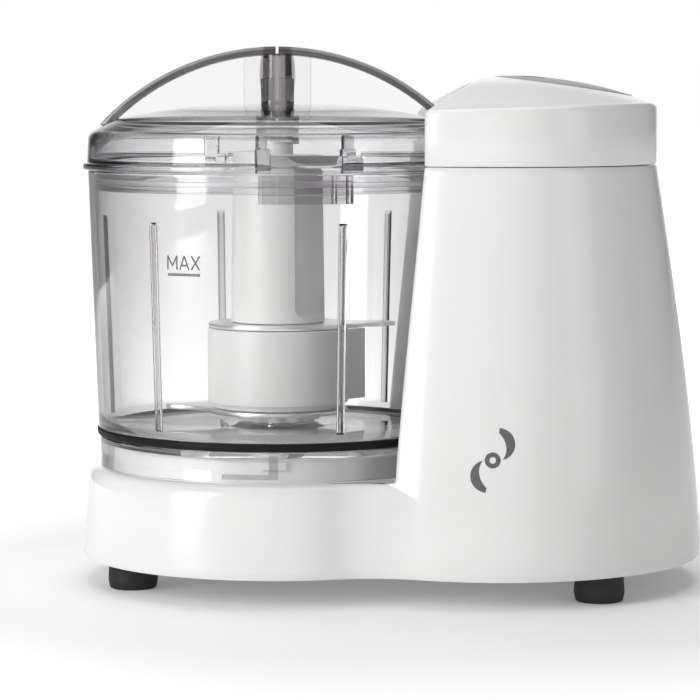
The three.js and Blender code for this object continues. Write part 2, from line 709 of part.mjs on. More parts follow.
function bowlWallRadius(z) {
  const rise = (z - FLOOR_TOP) / (BOWL_RIM - FLOOR_TOP);
  return BOWL_FOOT_RADIUS + (BOWL_RIM_RADIUS - BOWL_FOOT_RADIUS) * rise;
}

// Swings a piece made at the front of the bowl round towards the tower.
function roundFromFront(solid, degrees) {
  return swung(solid, degrees, BOWL_X);
}

const BOWL_SEGMENTS = 40;
const GROOVE_RADIUS = 64.4; // groove that the black ring lies in
const RING_OUTER = 66.9;
const SKIRT_LOW = DECK_TOP + GAP;
const FLOOR_LOW = FLOOR_TOP - BOWL_WALL;
const RIB_RADIUS = 1.5;
const RIB_COUNT = 6;
const FLOOR_BOSS_HIGH = FLOOR_TOP + 2.4; // round the foot of the spindle tube
const TUBE_OUTER = 7.6;
const TUBE_INNER = 6;
const RAIL_LOW = 44.8;
const RAIL_HIGH = 46.2;
const RAIL_LENGTH = 18;
const RAIL_STOP_TOP = 53.9;
const RAIL_STOP_END = 1.5; // past the front of the rail's own angle
const RAIL_STOP_THICKNESS = 1.3;

function bowlProfile() {
  const skirtInside = SKIRT_RADIUS - BOWL_WALL;
  return [
    [skirtInside, SKIRT_LOW],
    [SKIRT_RADIUS, SKIRT_LOW],
    [SKIRT_RADIUS + 0.2, RING_LOW - GAP],
    [GROOVE_RADIUS, RING_LOW - GAP],
    [GROOVE_RADIUS, RING_HIGH + GAP],
    [bowlWallRadius(RING_HIGH), RING_HIGH + GAP],
    [BOWL_RIM_RADIUS, BOWL_RIM],
    [BOWL_RIM_RADIUS - BOWL_WALL, BOWL_RIM],
    [bowlWallRadius(FLOOR_TOP + 6) - BOWL_WALL, FLOOR_TOP + 6],
    [skirtInside - 0.7, FLOOR_TOP + 2],
    [skirtInside - 4.3, FLOOR_TOP],
    [18, FLOOR_TOP],
    [13.8, FLOOR_TOP + 1.2],
    [13.2, FLOOR_BOSS_HIGH],
    [TUBE_OUTER + 0.6, FLOOR_BOSS_HIGH],
    [TUBE_OUTER, TUBE_TOP],
    [TUBE_INNER, TUBE_TOP],
    [TUBE_INNER + 0.4, FLOOR_LOW],
    [skirtInside, FLOOR_LOW],
  ];
}

// One of the half-round upright ribs on the inside of the wall, leaning with the wall.
function makeRib(index) {
  const upright = new THREE.CylinderGeometry(RIB_RADIUS, RIB_RADIUS, RIB_TOP - FLOOR_TOP, 6);
  upright.rotateX(Math.PI / 2);
  upright.rotateX(Math.atan((BOWL_RIM_RADIUS - BOWL_FOOT_RADIUS) / (BOWL_RIM - FLOOR_TOP)));
  const middle = (RIB_TOP + FLOOR_TOP) / 2;
  upright.translate(BOWL_X, -(bowlWallRadius(middle) - BOWL_WALL), middle);
  return roundFromFront(toSolid(upright), RIB_FIRST_ANGLE + (360 / RIB_COUNT) * index);
}

function makeBowl() {
  const shell = turned(bowlProfile(), BOWL_X, BOWL_SEGMENTS);
  const ribs = Array.from({ length: RIB_COUNT }, (_, i) => makeRib(i));
  const rails = BAYONET_TURNS.map((angle) => roundFromFront(makeBayonetRail(), angle));
  const whole = joined([shell, ...ribs, ...rails, roundFromFront(makeCatchPanel(), LATCH_ANGLE)]);
  const grooveLow = RING_LOW - GAP;
  const grooveHigh = RING_HIGH + GAP;
  return whole.subtract(tube(BOWL_RIM_RADIUS, GROOVE_RADIUS, grooveLow, grooveHigh, BOWL_X, BOWL_SEGMENTS));
}

function makeBowlRing() {
  return tube(RING_OUTER, GROOVE_RADIUS + GAP, RING_LOW, RING_HIGH, BOWL_X, BOWL_SEGMENTS);
}

// L-shaped rail inside the skirt that turns under a lug of the base.
function makeBayonetRail() {
  const skirtInside = SKIRT_RADIUS - BOWL_WALL;
  const bandTop = RAIL_STOP_TOP + 0.1;
  const band = tube(skirtInside + 0.5, skirtInside - 1, SKIRT_LOW + 1, bandTop, BOWL_X, BOWL_SEGMENTS);
  const front = -BOWL_RIM_RADIUS;
  const end = BOWL_X + RAIL_STOP_END;
  const rail = block([BOWL_X - RAIL_LENGTH, front, RAIL_LOW], [end, front + 20, RAIL_HIGH]);
  const stop = block([end - RAIL_STOP_THICKNESS, front, RAIL_LOW], [end, front + 20, RAIL_STOP_TOP]);
  return rail.add(stop).intersect(band);
}

const PANEL_LOW = 141;
const PANEL_HIGH = 150.8;
const PANEL_SKIN = 1.6;
const PANEL_RIB_PLACES = [-10.2, 10.2];
const PANEL_RIB_HALF = 0.7;

// The open-backed panel at the front that the lid's latch tab stands over.
function makeCatchPanel() {
  const front = -LATCH_RADIUS;
  const behind = -(BOWL_RIM_RADIUS - 1);
  const upright = (t, half, depth) =>
    block([BOWL_X + t - half, front, PANEL_LOW], [BOWL_X + t + half, behind + depth, PANEL_HIGH]);
  const sides = [-LATCH_HALF_WIDTH, LATCH_HALF_WIDTH].map((t) => upright(t, PANEL_SKIN / 2, 3));
  const ribs = PANEL_RIB_PLACES.map((t) => upright(t, PANEL_RIB_HALF, 2));
  const face = block(
    [BOWL_X - LATCH_HALF_WIDTH, front, PANEL_LOW],
    [BOWL_X + LATCH_HALF_WIDTH, front + PANEL_SKIN, PANEL_HIGH],
  );
  const outside = tube(100, BOWL_RIM_RADIUS - 1.2, PANEL_LOW - 1, PANEL_HIGH + 1, BOWL_X, BOWL_SEGMENTS);
  return joined([face, ...sides, ...ribs]).intersect(outside);
}

// ---------- Lid ----------

const PLUG_RADIUS = 66.6; // part of the lid that drops inside the bowl
const PLUG_INSIDE = 64.6;
const SEAL_LOW = 146.4;
const SEAL_HIGH = 148.4;
const SEAL_RADIUS = 65.6;
const SEAL_OUTER = 66.9;
const HUB_SOCKET_LOW = 161;
const HUB_SOCKET_RADIUS = 8;

function lidOutside() {
  return [
    [0, PLUG_LOW],
    [PLUG_RADIUS, PLUG_LOW],
    [PLUG_RADIUS, SEAL_LOW - GAP],
    [SEAL_RADIUS - GAP, SEAL_LOW - GAP],
    [SEAL_RADIUS - GAP, SEAL_HIGH + GAP],
    [PLUG_RADIUS, SEAL_HIGH + GAP],
    [PLUG_RADIUS, FLANGE_LOW],
    [FLANGE_RADIUS, FLANGE_LOW],
    [FLANGE_RADIUS, FLANGE_HIGH],
    [LID_WALL_RADIUS, FLANGE_HIGH],
    [LID_WALL_RADIUS - 0.7, LID_SHOULDER],
    [66.8, 166.4],
    [61, 169.1],
    [44, 172.6],
    [22, 174.6],
    [0, LID_CROWN],
  ];
}

function lidInside() {
  return [
    [0, PLUG_LOW - 1],
    [PLUG_INSIDE, PLUG_LOW - 1],
    [PLUG_INSIDE, FLANGE_HIGH - 1],
    [67.6, FLANGE_HIGH + 1],
    [67.1, LID_SHOULDER - 0.5],
    [60.5, 166.7],
    [40, 170.9],
    [0, LID_CROWN - BOWL_WALL],
  ];
}

function makeLid() {
  const outside = turned(lidOutside(), BOWL_X, BOWL_SEGMENTS);
  const inside = turned(lidInside(), BOWL_X, BOWL_SEGMENTS);
  const latchTab = roundFromFront(makeLatchTab(), LATCH_ANGLE);
  const shell = joined([outside, makeArch(), latchTab, makeCam()]).subtract(inside);
  const socket = tube(HUB_SOCKET_RADIUS, HUB_PIN_RADIUS + 0.35, HUB_SOCKET_LOW, LID_CROWN - 1, BOWL_X, 16);
  return shell.add(socket.intersect(outside));
}

function makeLidSeal() {
  return tube(SEAL_OUTER, SEAL_RADIUS, SEAL_LOW, SEAL_HIGH, BOWL_X, BOWL_SEGMENTS);
}

const ARCH_FOOT = 166; // height at which the arch meets the lid
const ARCH_WEB = 2.4;
const ARCH_PANEL_HALF_LENGTH = 12.3;
const ARCH_PANEL_HALF_WIDTH = 2;
const ARCH_COLUMN_RADIUS = 6;

// The carrying handle across the top: a curved rim on a thin web, with a thicker panel and a
// round column in the middle.
function makeArch() {
  const centre = ARCH_TOP - ARCH_RADIUS;
  const reach = Math.acos((ARCH_FOOT - centre) / ARCH_RADIUS);
  const start = Math.PI / 2 - reach;
  const end = Math.PI / 2 + reach;
  const upright = (shape, width) => {
    const settings = { depth: width, bevelEnabled: false, curveSegments: 18 };
    const geometry = new THREE.ExtrudeGeometry(shape, settings);
    geometry.rotateX(Math.PI / 2);
    geometry.translate(BOWL_X, width / 2, 0);
    return toSolid(geometry);
  };
  const web = new THREE.Shape();
  web.absarc(0, centre, ARCH_RADIUS - 1, start, end);
  const rim = new THREE.Shape();
  rim.absarc(0, centre, ARCH_RADIUS, start, end);
  rim.absarc(0, centre, ARCH_RADIUS - ARCH_RIM, end, start, true);
  const panel = block(
    [BOWL_X - ARCH_PANEL_HALF_LENGTH, -ARCH_PANEL_HALF_WIDTH, ARCH_FOOT],
    [BOWL_X + ARCH_PANEL_HALF_LENGTH, ARCH_PANEL_HALF_WIDTH, ARCH_TOP - 2],
  );
  const column = disc(ARCH_COLUMN_RADIUS, LID_CROWN - 3, ARCH_TOP - 1.6, BOWL_X, 0, 12);
  return joined([upright(web, ARCH_WEB), upright(rim, ARCH_RIM_WIDTH), panel, column]);
}

const FIN_TOP = 164.7;
const FIN_OUTER = 17.3;
const FIN_INNER = 12.4;
const BAR_LOW = 153.4;
const BAR_HIGH = 157.6;
const STEP_OUTER = 19.8;
const STEP_TOP = 157;

// Two fins, a cross bar and a step block on the lid's wall, above the bowl's catch panel.
function makeLatchTab() {
  const front = -LATCH_RADIUS;
  const root = -(LID_WALL_RADIUS - 4);
  const fin = (outer, inner, innerTop) =>
    lofted([
      { z: FLANGE_LOW, points: [[outer, front], [inner, front], [inner, root], [outer, root]] },
      { z: FIN_TOP, points: [[outer, front + 1], [innerTop, front + 1], [innerTop, root], [outer, root]] },
    ]);
  const leftFin = fin(BOWL_X - FIN_OUTER, BOWL_X - FIN_INNER, BOWL_X - FIN_INNER - 2);
  const rightFin = fin(BOWL_X + FIN_INNER, BOWL_X + FIN_OUTER, BOWL_X + FIN_OUTER - 0.7);
  const bar = block([BOWL_X - FIN_INNER, front + 0.8, BAR_LOW], [BOWL_X + FIN_INNER + 0.2, root, BAR_HIGH]);
  const step = block([BOWL_X + FIN_INNER, front - 0.4, FLANGE_LOW], [BOWL_X + STEP_OUTER, root, STEP_TOP]);
  return joined([leftFin, rightFin, bar, step]);
}

// Low rib on the lid's wall that holds the interlock plunger in while the lid is locked.
function makeCam() {
  const band = tube(CAM_RADIUS, LID_WALL_RADIUS - 1.1, CAM_LOW, CAM_HIGH, BOWL_X, BOWL_SEGMENTS);
  const sector = block(
    [BOWL_X + CAM_RADIUS - 10, -CAM_HALF_WIDTH, CAM_LOW - 1],
    [BOWL_X + CAM_RADIUS + 10, CAM_HALF_WIDTH, CAM_HIGH + 1],
  );
  return band.intersect(sector);
}

// ---------- Blade hub ----------

const COLLAR_LOW = FLOOR_TOP + 3;
const COLLAR_RADIUS = 12;
const HUB_BORE = 8.6;
const SOCKET_LOW = 83.6;
const UPPER_BLADE_LOW = DRUM_TOP + GAP;
const COLUMN_LOW = UPPER_BLADE_LOW + BLADE_THICKNESS + GAP;
const LOWER_BLADE_LOW = HUB_LOW;
const NECK_RADIUS = 10;
const DRUM_SHELL = 2;
const FLUTE_RADIUS = 12; // hollow flutes down two sides of the column
const FLUTE_DISTANCE = 22.6;
const FLUTE_TURNS = [54, 234]; // degrees from the front towards the tower
const FLUTE_END = 2.5; // the column stays round this near its ends
const STAR_POINTS = 12;
const STAR_OUTER = 15.2;
const STAR_INNER = 13.6;
const STAR_THICKNESS = 1.6;
const FIN_LOW = 63.8;
const FIN_HIGH = 90.8;
const FIN_HALF_THICKNESS = 0.9;
const FIN_ANGLE = 42; // degrees from +X towards the back
const UPPER_BLADE_ANGLE = 5;
const LOWER_BLADE_ANGLE = 165;
const TIP_RADIUS = 4.5;
const GROUND_EDGE_START = 11; // the cutting edge is ground away beyond this distance
const GROUND_EDGE_DEPTH = 0.5;

// A closed outline that steps between two radii, as many times round as there are points.
function starOutline(x, points, outer, inner) {
  const outline = [];
  for (let i = 0; i < 2 * points; i++) {
    const radius = i % 2 ? inner : outer;
    const angle = (i / (2 * points)) * FULL_TURN;
    outline.push([x + radius * Math.cos(angle), radius * Math.sin(angle)]);
  }
  return outline;
}

function hexagon(radius, low, high) {
  return disc(radius, low, high, BOWL_X, 0, 6);
}

// The drum that carries the blades, with the column above it and the pin that the lid steadies.
function hubProfile() {
  return [
    [HUB_BORE, HUB_LOW + BLADE_THICKNESS + GAP],
    [DRUM_RADIUS, HUB_LOW + BLADE_THICKNESS + GAP],
    [DRUM_RADIUS, DRUM_TOP],
    [NECK_RADIUS, DRUM_TOP],
    [NECK_RADIUS, COLUMN_LOW],
    [COLUMN_FOOT_RADIUS, COLUMN_LOW],
    [COLUMN_TOP_RADIUS, COLUMN_TOP - 1],
    [COLUMN_TOP_RADIUS - 1, COLUMN_TOP],
    [HUB_PIN_RADIUS, COLUMN_TOP],
    [HUB_PIN_RADIUS, HUB_PIN_TOP - 0.8],
    [HUB_PIN_RADIUS - 0.8, HUB_PIN_TOP],
    [0, HUB_PIN_TOP],
    [0, SOCKET_LOW],
    [HUB_BORE, SOCKET_LOW],
  ];
}

function makeHub() {
  const drumHollow = tube(DRUM_RADIUS - DRUM_SHELL, COLLAR_RADIUS - 0.5, HUB_LOW, DRUM_TOP - 3, BOWL_X, 28);
  const drum = turned(hubProfile(), BOWL_X, 28).subtract(drumHollow);
  const collar = tube(COLLAR_RADIUS, HUB_BORE, COLLAR_LOW, HUB_LOW + 3, BOWL_X, 16);
  const star = starOutline(BOWL_X, STAR_POINTS, STAR_OUTER, STAR_INNER);
  const starHole = disc(HUB_BORE, COLLAR_LOW - 1, COLLAR_LOW + STAR_THICKNESS + 1, BOWL_X);
  const starRing = prism(star, COLLAR_LOW, COLLAR_LOW + STAR_THICKNESS).subtract(starHole);
  const fin = block(
    [BOWL_X + DRUM_RADIUS - 1.5, -FIN_HALF_THICKNESS, FIN_LOW],
    [BOWL_X + BLADE_REACH, FIN_HALF_THICKNESS, FIN_HIGH],
  );
  const fluteLow = COLUMN_LOW + FLUTE_END;
  const fluteHigh = COLUMN_TOP - FLUTE_END;
  const flute = disc(FLUTE_RADIUS, fluteLow, fluteHigh, BOWL_X, -FLUTE_DISTANCE, 32);
  const flutes = FLUTE_TURNS.map((angle) => roundFromFront(flute, angle));
  const socket = hexagon(COUPLING_RADIUS + GAP, SOCKET_LOW - 1, COUPLING_TOP + 1);
  return cut(joined([drum, collar, starRing, swung(fin, FIN_ANGLE, BOWL_X)]), [...flutes, socket]);
}

// A one-winged blade: a round centre over the drum and a swept wing that ends in a rounded tip.
function bladeShape(centreRadius, holeRadius) {
  const shape = new THREE.Shape();
  const tipX = BLADE_REACH - TIP_RADIUS;
  const frontRoot = 0.55; // radians round the centre at which each edge of the wing starts
  const backRoot = 0.5;
  shape.moveTo(centreRadius * Math.cos(frontRoot), -centreRadius * Math.sin(frontRoot));
  shape.quadraticCurveTo(tipX - 8, -13, tipX, -TIP_RADIUS);
  shape.absarc(tipX, 0, TIP_RADIUS, -Math.PI / 2, Math.PI / 2);
  const backX = centreRadius * Math.cos(backRoot);
  shape.quadraticCurveTo(tipX - 10, 5.5, backX, centreRadius * Math.sin(backRoot));
  shape.absarc(0, 0, centreRadius, backRoot, FULL_TURN - frontRoot);
  const hole = new THREE.Path();
  hole.absarc(0, 0, holeRadius, 0, FULL_TURN);
  shape.holes.push(hole);
  return shape;
}

function makeBlade(low, holeRadius, degrees) {
  const flat = prism(bladeShape(DRUM_RADIUS - 0.4, holeRadius), low, low + BLADE_THICKNESS, 10);
  const ground = block([-60, -40, low - 1], [60, -GROUND_EDGE_START, low + GROUND_EDGE_DEPTH]);
  return moved(swung(flat.subtract(ground), degrees), BOWL_X, 0, 0);
}

// ---------- Drive ----------

function makeSpindle() {
  return disc(SPINDLE_RADIUS, COVER_HIGH + 2, COUPLING_LOW + 4, BOWL_X, 0, 16);
}

function makeCoupling() {
  return hexagon(COUPLING_RADIUS, COUPLING_LOW, COUPLING_TOP).subtract(
    disc(SPINDLE_RADIUS + GAP, COUPLING_LOW - 1, COUPLING_LOW + 4 + GAP, BOWL_X, 0, 16),
  );
}

const PULLEY_FLANGE = 2.2; // stands this much above the belt's seat
const PULLEY_SIDE = 1.2;
const BELT_SIDE_GAP = 0.6;

// A pulley with a flange at each end, bored for its shaft.
function makePulley(x, radius, bore, segments) {
  const flange = radius + PULLEY_FLANGE;
  const seatLow = BELT_LOW - BELT_SIDE_GAP;
  const seatHigh = BELT_HIGH + BELT_SIDE_GAP;
  return turned(
    [
      [bore, seatLow - PULLEY_SIDE],
      [flange, seatLow - PULLEY_SIDE],
      [flange, seatLow],
      [radius, seatLow],
      [radius, seatHigh],
      [flange, seatHigh],
      [flange, seatHigh + PULLEY_SIDE],
      [bore, seatHigh + PULLEY_SIDE],
    ],
    x,
    segments,
  );
}

// The belt runs round both pulleys on straight runs that touch both circles.
function makeBelt() {
  const distance = MOTOR_X - BOWL_X;
  const lean = Math.acos((DRIVEN_PULLEY_RADIUS - MOTOR_PULLEY_RADIUS) / distance);
  const loop = (extra) => {
    const path = new THREE.Shape();
    path.absarc(BOWL_X, 0, DRIVEN_PULLEY_RADIUS + GAP + extra, lean, FULL_TURN - lean);
    path.absarc(MOTOR_X, 0, MOTOR_PULLEY_RADIUS + GAP + extra, -lean, lean);
    return path;
  };
  const outer = prism(loop(BELT_THICKNESS), BELT_LOW, BELT_HIGH, 12);
  const inner = prism(loop(0), BELT_LOW - 1, BELT_HIGH + 1, 12);
  return outer.subtract(inner);
}

const BUSH_LOW = BUSH_BOSS_LOW + GAP;
const BUSH_HIGH = 49;
const SEAL_SEAT = 49.4; // the spindle's lip seal stands on this height
const LIP_TOP = 52.4;

function makeSpindleBush() {
  return tube(BUSH_RADIUS, SPINDLE_RADIUS + 0.1, BUSH_LOW, BUSH_HIGH, BOWL_X, 16);
}

function makeSpindleSeal() {
  const bore = SPINDLE_RADIUS + 0.15;
  const profile = [
    [bore, SEAL_SEAT],
    [6.6, SEAL_SEAT],
    [6.6, LIP_TOP - 1.2],
    [4.9, LIP_TOP],
    [bore, LIP_TOP],
  ];
  return turned(profile, BOWL_X, 16);
}

// ---------- Motor ----------

const END_BRACKET_HALF_WIDTH = 8;
const END_BRACKET_HALF_LENGTH = 26;
const END_BRACKET_THICKNESS = 3;
const LOWER_BRACKET = 56;
const UPPER_BRACKET = 118;
const BEARING_RADIUS = 8;
const BEARING_HEIGHT = 4;
const BEARING_SEAT = 1.5; // floor of the cup that holds a bearing
const CRADLE_POSTS = [[44, -40], [44, 40], [86, -36], [86, 36]];
const CRADLE_LEG_Y = 22;
const COMMUTATOR_LOW = 106;
const COMMUTATOR_HIGH = 116;
const COMMUTATOR_RADIUS = 9;
const COMMUTATOR_BARS = 10;
const BRUSH_HEIGHT = (COMMUTATOR_LOW + COMMUTATOR_HIGH) / 2;
const BRUSH_HALF_WIDTH = 2.5;
const BRUSH_WALL = 1.6;
const STATOR_HALF_X = 25;
const STATOR_HALF_Y = 27;
const STATOR_CORNER = 7;
const STATOR_BOLT_X = 21;
const STATOR_BOLT_RADIUS = 1.8;
const COIL_Y = 19;
const COIL_HALF_WIDTH = 11.2; // half the opening of a coil's loop
const COIL_HALF_THICKNESS = 2.8;
const COIL_BUNDLE = 5.4;
const SLOT_X = 14;
const SLOT_HALF = 3.2;
const ARMATURE_SLOTS = 10;
const FAN_LOW = 50.5;
const FAN_RADIUS = 17;
const FAN_HUB_RADIUS = 7;
const FAN_VANES = 6;

function makeCradle() {
  const inset = WALL + COVER_CLEARANCE;
  const round = towerBody(inset, BASE_BOTTOM, SEAM).subtract(recess(DECK_TOP - WALL, SEAM + 2, -inset));
  const plate = round.intersect(block([20, -FAR, CRADLE_LOW], [FAR, FAR, CRADLE_HIGH]));
  const legs = [-CRADLE_LEG_Y, CRADLE_LEG_Y].map((y) =>
    block([MOTOR_X - 4, y - 3, CRADLE_HIGH - 1], [MOTOR_X + 4, y + 3, LOWER_BRACKET - GAP]),
  );
  const shaftHole = disc(MOTOR_PULLEY_RADIUS + 2, CRADLE_LOW - 1, CRADLE_HIGH + 1, MOTOR_X, 0, 32);
  return joined([plate, ...legs]).subtract(shaftHole);
}

function makeStator() {
  const shape = new THREE.Shape();
  const cornerX = STATOR_HALF_X - STATOR_CORNER;
  const cornerY = STATOR_HALF_Y - STATOR_CORNER;
  const quarter = Math.PI / 2;
  shape.absarc(cornerX, cornerY, STATOR_CORNER, 0, quarter);
  shape.absarc(-cornerX, cornerY, STATOR_CORNER, quarter, 2 * quarter);
  shape.absarc(-cornerX, -cornerY, STATOR_CORNER, 2 * quarter, 3 * quarter);
  shape.absarc(cornerX, -cornerY, STATOR_CORNER, 3 * quarter, 4 * quarter);
  const core = moved(prism(shape, STATOR_LOW, STATOR_HIGH, 4), MOTOR_X, 0, 0);
  const below = STATOR_LOW - 1;
  const above = STATOR_HIGH + 1;
  const bore = disc(BORE_RADIUS, below, above, MOTOR_X, 0, 24);
  const slots = [[1, 1], [1, -1], [-1, 1], [-1, -1]].map(([sideX, sideY]) => {
    const x = MOTOR_X + sideX * SLOT_X;
    const y = sideY * COIL_Y;
    return block([x - SLOT_HALF, y - SLOT_HALF, below], [x + SLOT_HALF, y + SLOT_HALF, above]);
  });
  const boltHoles = [-STATOR_BOLT_X, STATOR_BOLT_X].map((x) =>
    disc(STATOR_BOLT_RADIUS, below, above, MOTOR_X + x, 0, 8),
  );
  return cut(core, [bore, ...slots, ...boltHoles]);
}

// A field coil is a flat loop that stands in the stator's slots and passes over both its ends.
function makeFieldCoil(side) {
  const low = STATOR_LOW - 2 * GAP;
  const high = STATOR_HIGH + 2 * GAP;
  const loop = (grow, halfThickness) =>
    block(
      [MOTOR_X - COIL_HALF_WIDTH - grow, side * COIL_Y - halfThickness, low - grow],
      [MOTOR_X + COIL_HALF_WIDTH + grow, side * COIL_Y + halfThickness, high + grow],
    );
  return loop(COIL_BUNDLE, COIL_HALF_THICKNESS).subtract(loop(0, COIL_HALF_THICKNESS + 1));
}

function makeShaft() {
  return disc(SHAFT_RADIUS, BELT_LOW - 3, UPPER_BRACKET + 8, MOTOR_X, 0, 12);
}

function makeArmatureCore() {
  const radius = BORE_RADIUS - 2 * GAP;
  const core = tube(radius, SHAFT_RADIUS + GAP, STATOR_LOW + 0.5, STATOR_HIGH - 0.5, MOTOR_X, 20);
  const slots = [];
  for (let i = 0; i < ARMATURE_SLOTS; i++) {
    const slot = block([MOTOR_X + 9, -1.2, STATOR_LOW], [MOTOR_X + 15, 1.2, STATOR_HIGH]);
    slots.push(swung(slot, (360 * i) / ARMATURE_SLOTS, MOTOR_X));
  }
  return cut(core, slots);
}

// The bulge of windings at one end of the armature.
function makeEndWinding(low, high) {
  const bore = SHAFT_RADIUS + GAP;
  const middle = (low + high) / 2;
  return turned([[bore, low], [10, low], [11.5, middle], [10, high], [bore, high]], MOTOR_X, 16);
}

function makeCommutator() {
  const outline = starOutline(MOTOR_X, COMMUTATOR_BARS, COMMUTATOR_RADIUS - 0.25, COMMUTATOR_RADIUS);
  const bore = disc(SHAFT_RADIUS + GAP, COMMUTATOR_LOW - 1, COMMUTATOR_HIGH + 1, MOTOR_X);
  return prism(outline, COMMUTATOR_LOW, COMMUTATOR_HIGH).subtract(bore);
}

function makeFan() {
  const top = FAN_LOW + 4.6;
  const hub = tube(FAN_HUB_RADIUS, SHAFT_RADIUS + GAP, FAN_LOW - 0.4, top, MOTOR_X, 12);
  const plate = tube(FAN_RADIUS, FAN_HUB_RADIUS - 1, top - 1.2, top, MOTOR_X, 20);
  const vanes = [];
  for (let i = 0; i < FAN_VANES; i++) {
    const inner = [MOTOR_X + FAN_HUB_RADIUS - 1, -0.6, FAN_LOW];
    const outer = [MOTOR_X + FAN_RADIUS, 0.6, top - 0.6];
    vanes.push(swung(block(inner, outer), (360 * i) / FAN_VANES, MOTOR_X));
  }
  return joined([hub, plate, ...vanes]);
}

function makeEndBracket(low) {
  const halfLength = END_BRACKET_HALF_LENGTH;
  const bar = block(
    [MOTOR_X - END_BRACKET_HALF_WIDTH, -halfLength, low],
    [MOTOR_X + END_BRACKET_HALF_WIDTH, halfLength, low + END_BRACKET_THICKNESS],
  );
  const cupTop = low + 2 * END_BRACKET_THICKNESS;
  const cup = disc(BEARING_RADIUS + GAP + 2, low, cupTop, MOTOR_X, 0, 20);
  const seat = disc(BEARING_RADIUS + GAP, low + BEARING_SEAT, cupTop + 1, MOTOR_X, 0, 20);
  const shaftHole = disc(SHAFT_RADIUS + 1, low - 1, cupTop + 1, MOTOR_X, 0, 12);
  return cut(bar.add(cup), [seat, shaftHole]);
}

function makeBearing(bracketLow) {
  const low = bracketLow + BEARING_SEAT + GAP;
  return tube(BEARING_RADIUS, SHAFT_RADIUS + 0.1, low, low + BEARING_HEIGHT, MOTOR_X, 16);
}

// A square bar along Y about the brush height, from one distance off the shaft to another.
function barTowardsBrush(side, half, from, to, top = BRUSH_HEIGHT + half) {
  const [low, high] = side > 0 ? [from, to] : [-to, -from];
  return block([MOTOR_X - half, low, BRUSH_HEIGHT - half], [MOTOR_X + half, high, top]);
}

// Brushes reach the commutator from both sides, each in a holder fixed under the upper bracket.
function makeBrush(side) {
  return barTowardsBrush(side, BRUSH_HALF_WIDTH, COMMUTATOR_RADIUS + GAP, 20);
}

function makeBrushHolder(side) {
  const hollowHalf = BRUSH_HALF_WIDTH + GAP;
  const box = barTowardsBrush(side, hollowHalf + BRUSH_WALL, 11.5, 25, UPPER_BRACKET - GAP);
  return box.subtract(barTowardsBrush(side, hollowHalf, 10, 22));
}

// ---------- Assembly ----------

addPart("base_housing", makeHousing(), WHITE);
addPart("bottom_cover", makeBottomCover(), WHITE);
FOOT_PLACES.forEach(([name, x, y]) => addPart(name, makeFoot(x, y), BLACK_RUBBER));
SCREW_PLACES.forEach(([x, y], i) => addPart(`cover_screw_${i + 1}`, makeScrew(x, y), STEEL));
addPart("cord_gland", makeCordGland(), BLACK_RUBBER);
addPart("tower_cap", makeCap(), WHITE);
addPart("pulse_button", makeButton(), GREY);
addPart("button_inlay", makeInlay(), DARK);
addPart("button_spring", makeSpring(BUTTON_X), STEEL);
addPart("switch_bracket", makeSwitchBracket(), NYLON);
addPart("pulse_switch", makePulseSwitch(), DARK);
addPart("interlock_plunger", makePlunger(), NYLON);
addPart("interlock_switch", makeInterlockSwitch(), DARK);

addPart("bowl", makeBowl(), CLEAR);
addPart("bowl_ring", makeBowlRing(), BLACK_RUBBER);
addPart("lid", makeLid(), CLEAR);
addPart("lid_seal", makeLidSeal(), NYLON);
addPart("blade_hub", makeHub(), OFF_WHITE);
addPart("upper_blade", makeBlade(UPPER_BLADE_LOW, NECK_RADIUS + GAP, UPPER_BLADE_ANGLE), STEEL);
addPart("lower_blade", makeBlade(LOWER_BLADE_LOW, COLLAR_RADIUS + GAP, LOWER_BLADE_ANGLE), STEEL);

addPart("spindle", makeSpindle(), STEEL);
addPart("drive_coupling", makeCoupling(), DARK);
addPart("driven_pulley", makePulley(BOWL_X, DRIVEN_PULLEY_RADIUS, SPINDLE_RADIUS + GAP, 24), NYLON);
addPart("spindle_bush", makeSpindleBush(), BRONZE);
addPart("spindle_seal", makeSpindleSeal(), BLACK_RUBBER);
addPart("drive_belt", makeBelt(), BLACK_RUBBER);

addPart("motor_cradle", makeCradle(), NYLON);
addPart("stator_core", makeStator(), LAMINATION);
addPart("field_coil_front", makeFieldCoil(-1), COPPER);
addPart("field_coil_rear", makeFieldCoil(1), COPPER);
addPart("motor_shaft", makeShaft(), STEEL);
addPart("motor_pulley", makePulley(MOTOR_X, MOTOR_PULLEY_RADIUS, SHAFT_RADIUS + GAP, 16), NYLON);
addPart("armature_core", makeArmatureCore(), LAMINATION);
addPart("armature_winding_lower", makeEndWinding(STATOR_LOW - 5, STATOR_LOW + 0.2), COPPER);
addPart("armature_winding_upper", makeEndWinding(STATOR_HIGH - 0.2, STATOR_HIGH + 5), COPPER);
addPart("commutator", makeCommutator(), COPPER);
addPart("cooling_fan", makeFan(), DARK);
addPart("lower_end_bracket", makeEndBracket(LOWER_BRACKET), STEEL);
addPart("upper_end_bracket", makeEndBracket(UPPER_BRACKET), STEEL);
addPart("lower_bearing", makeBearing(LOWER_BRACKET), STEEL);
addPart("upper_bearing", makeBearing(UPPER_BRACKET), STEEL);
addPart("brush_holder_front", makeBrushHolder(-1), NYLON);
addPart("brush_holder_rear", makeBrushHolder(1), NYLON);
addPart("carbon_brush_front", makeBrush(-1), CARBON);
addPart("carbon_brush_rear", makeBrush(1), CARBON);

export default processor;
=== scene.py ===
"""Mini food processor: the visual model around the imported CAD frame, in metres."""

import math

import bmesh
import bpy
import numpy as np
from mathutils import Matrix, Vector


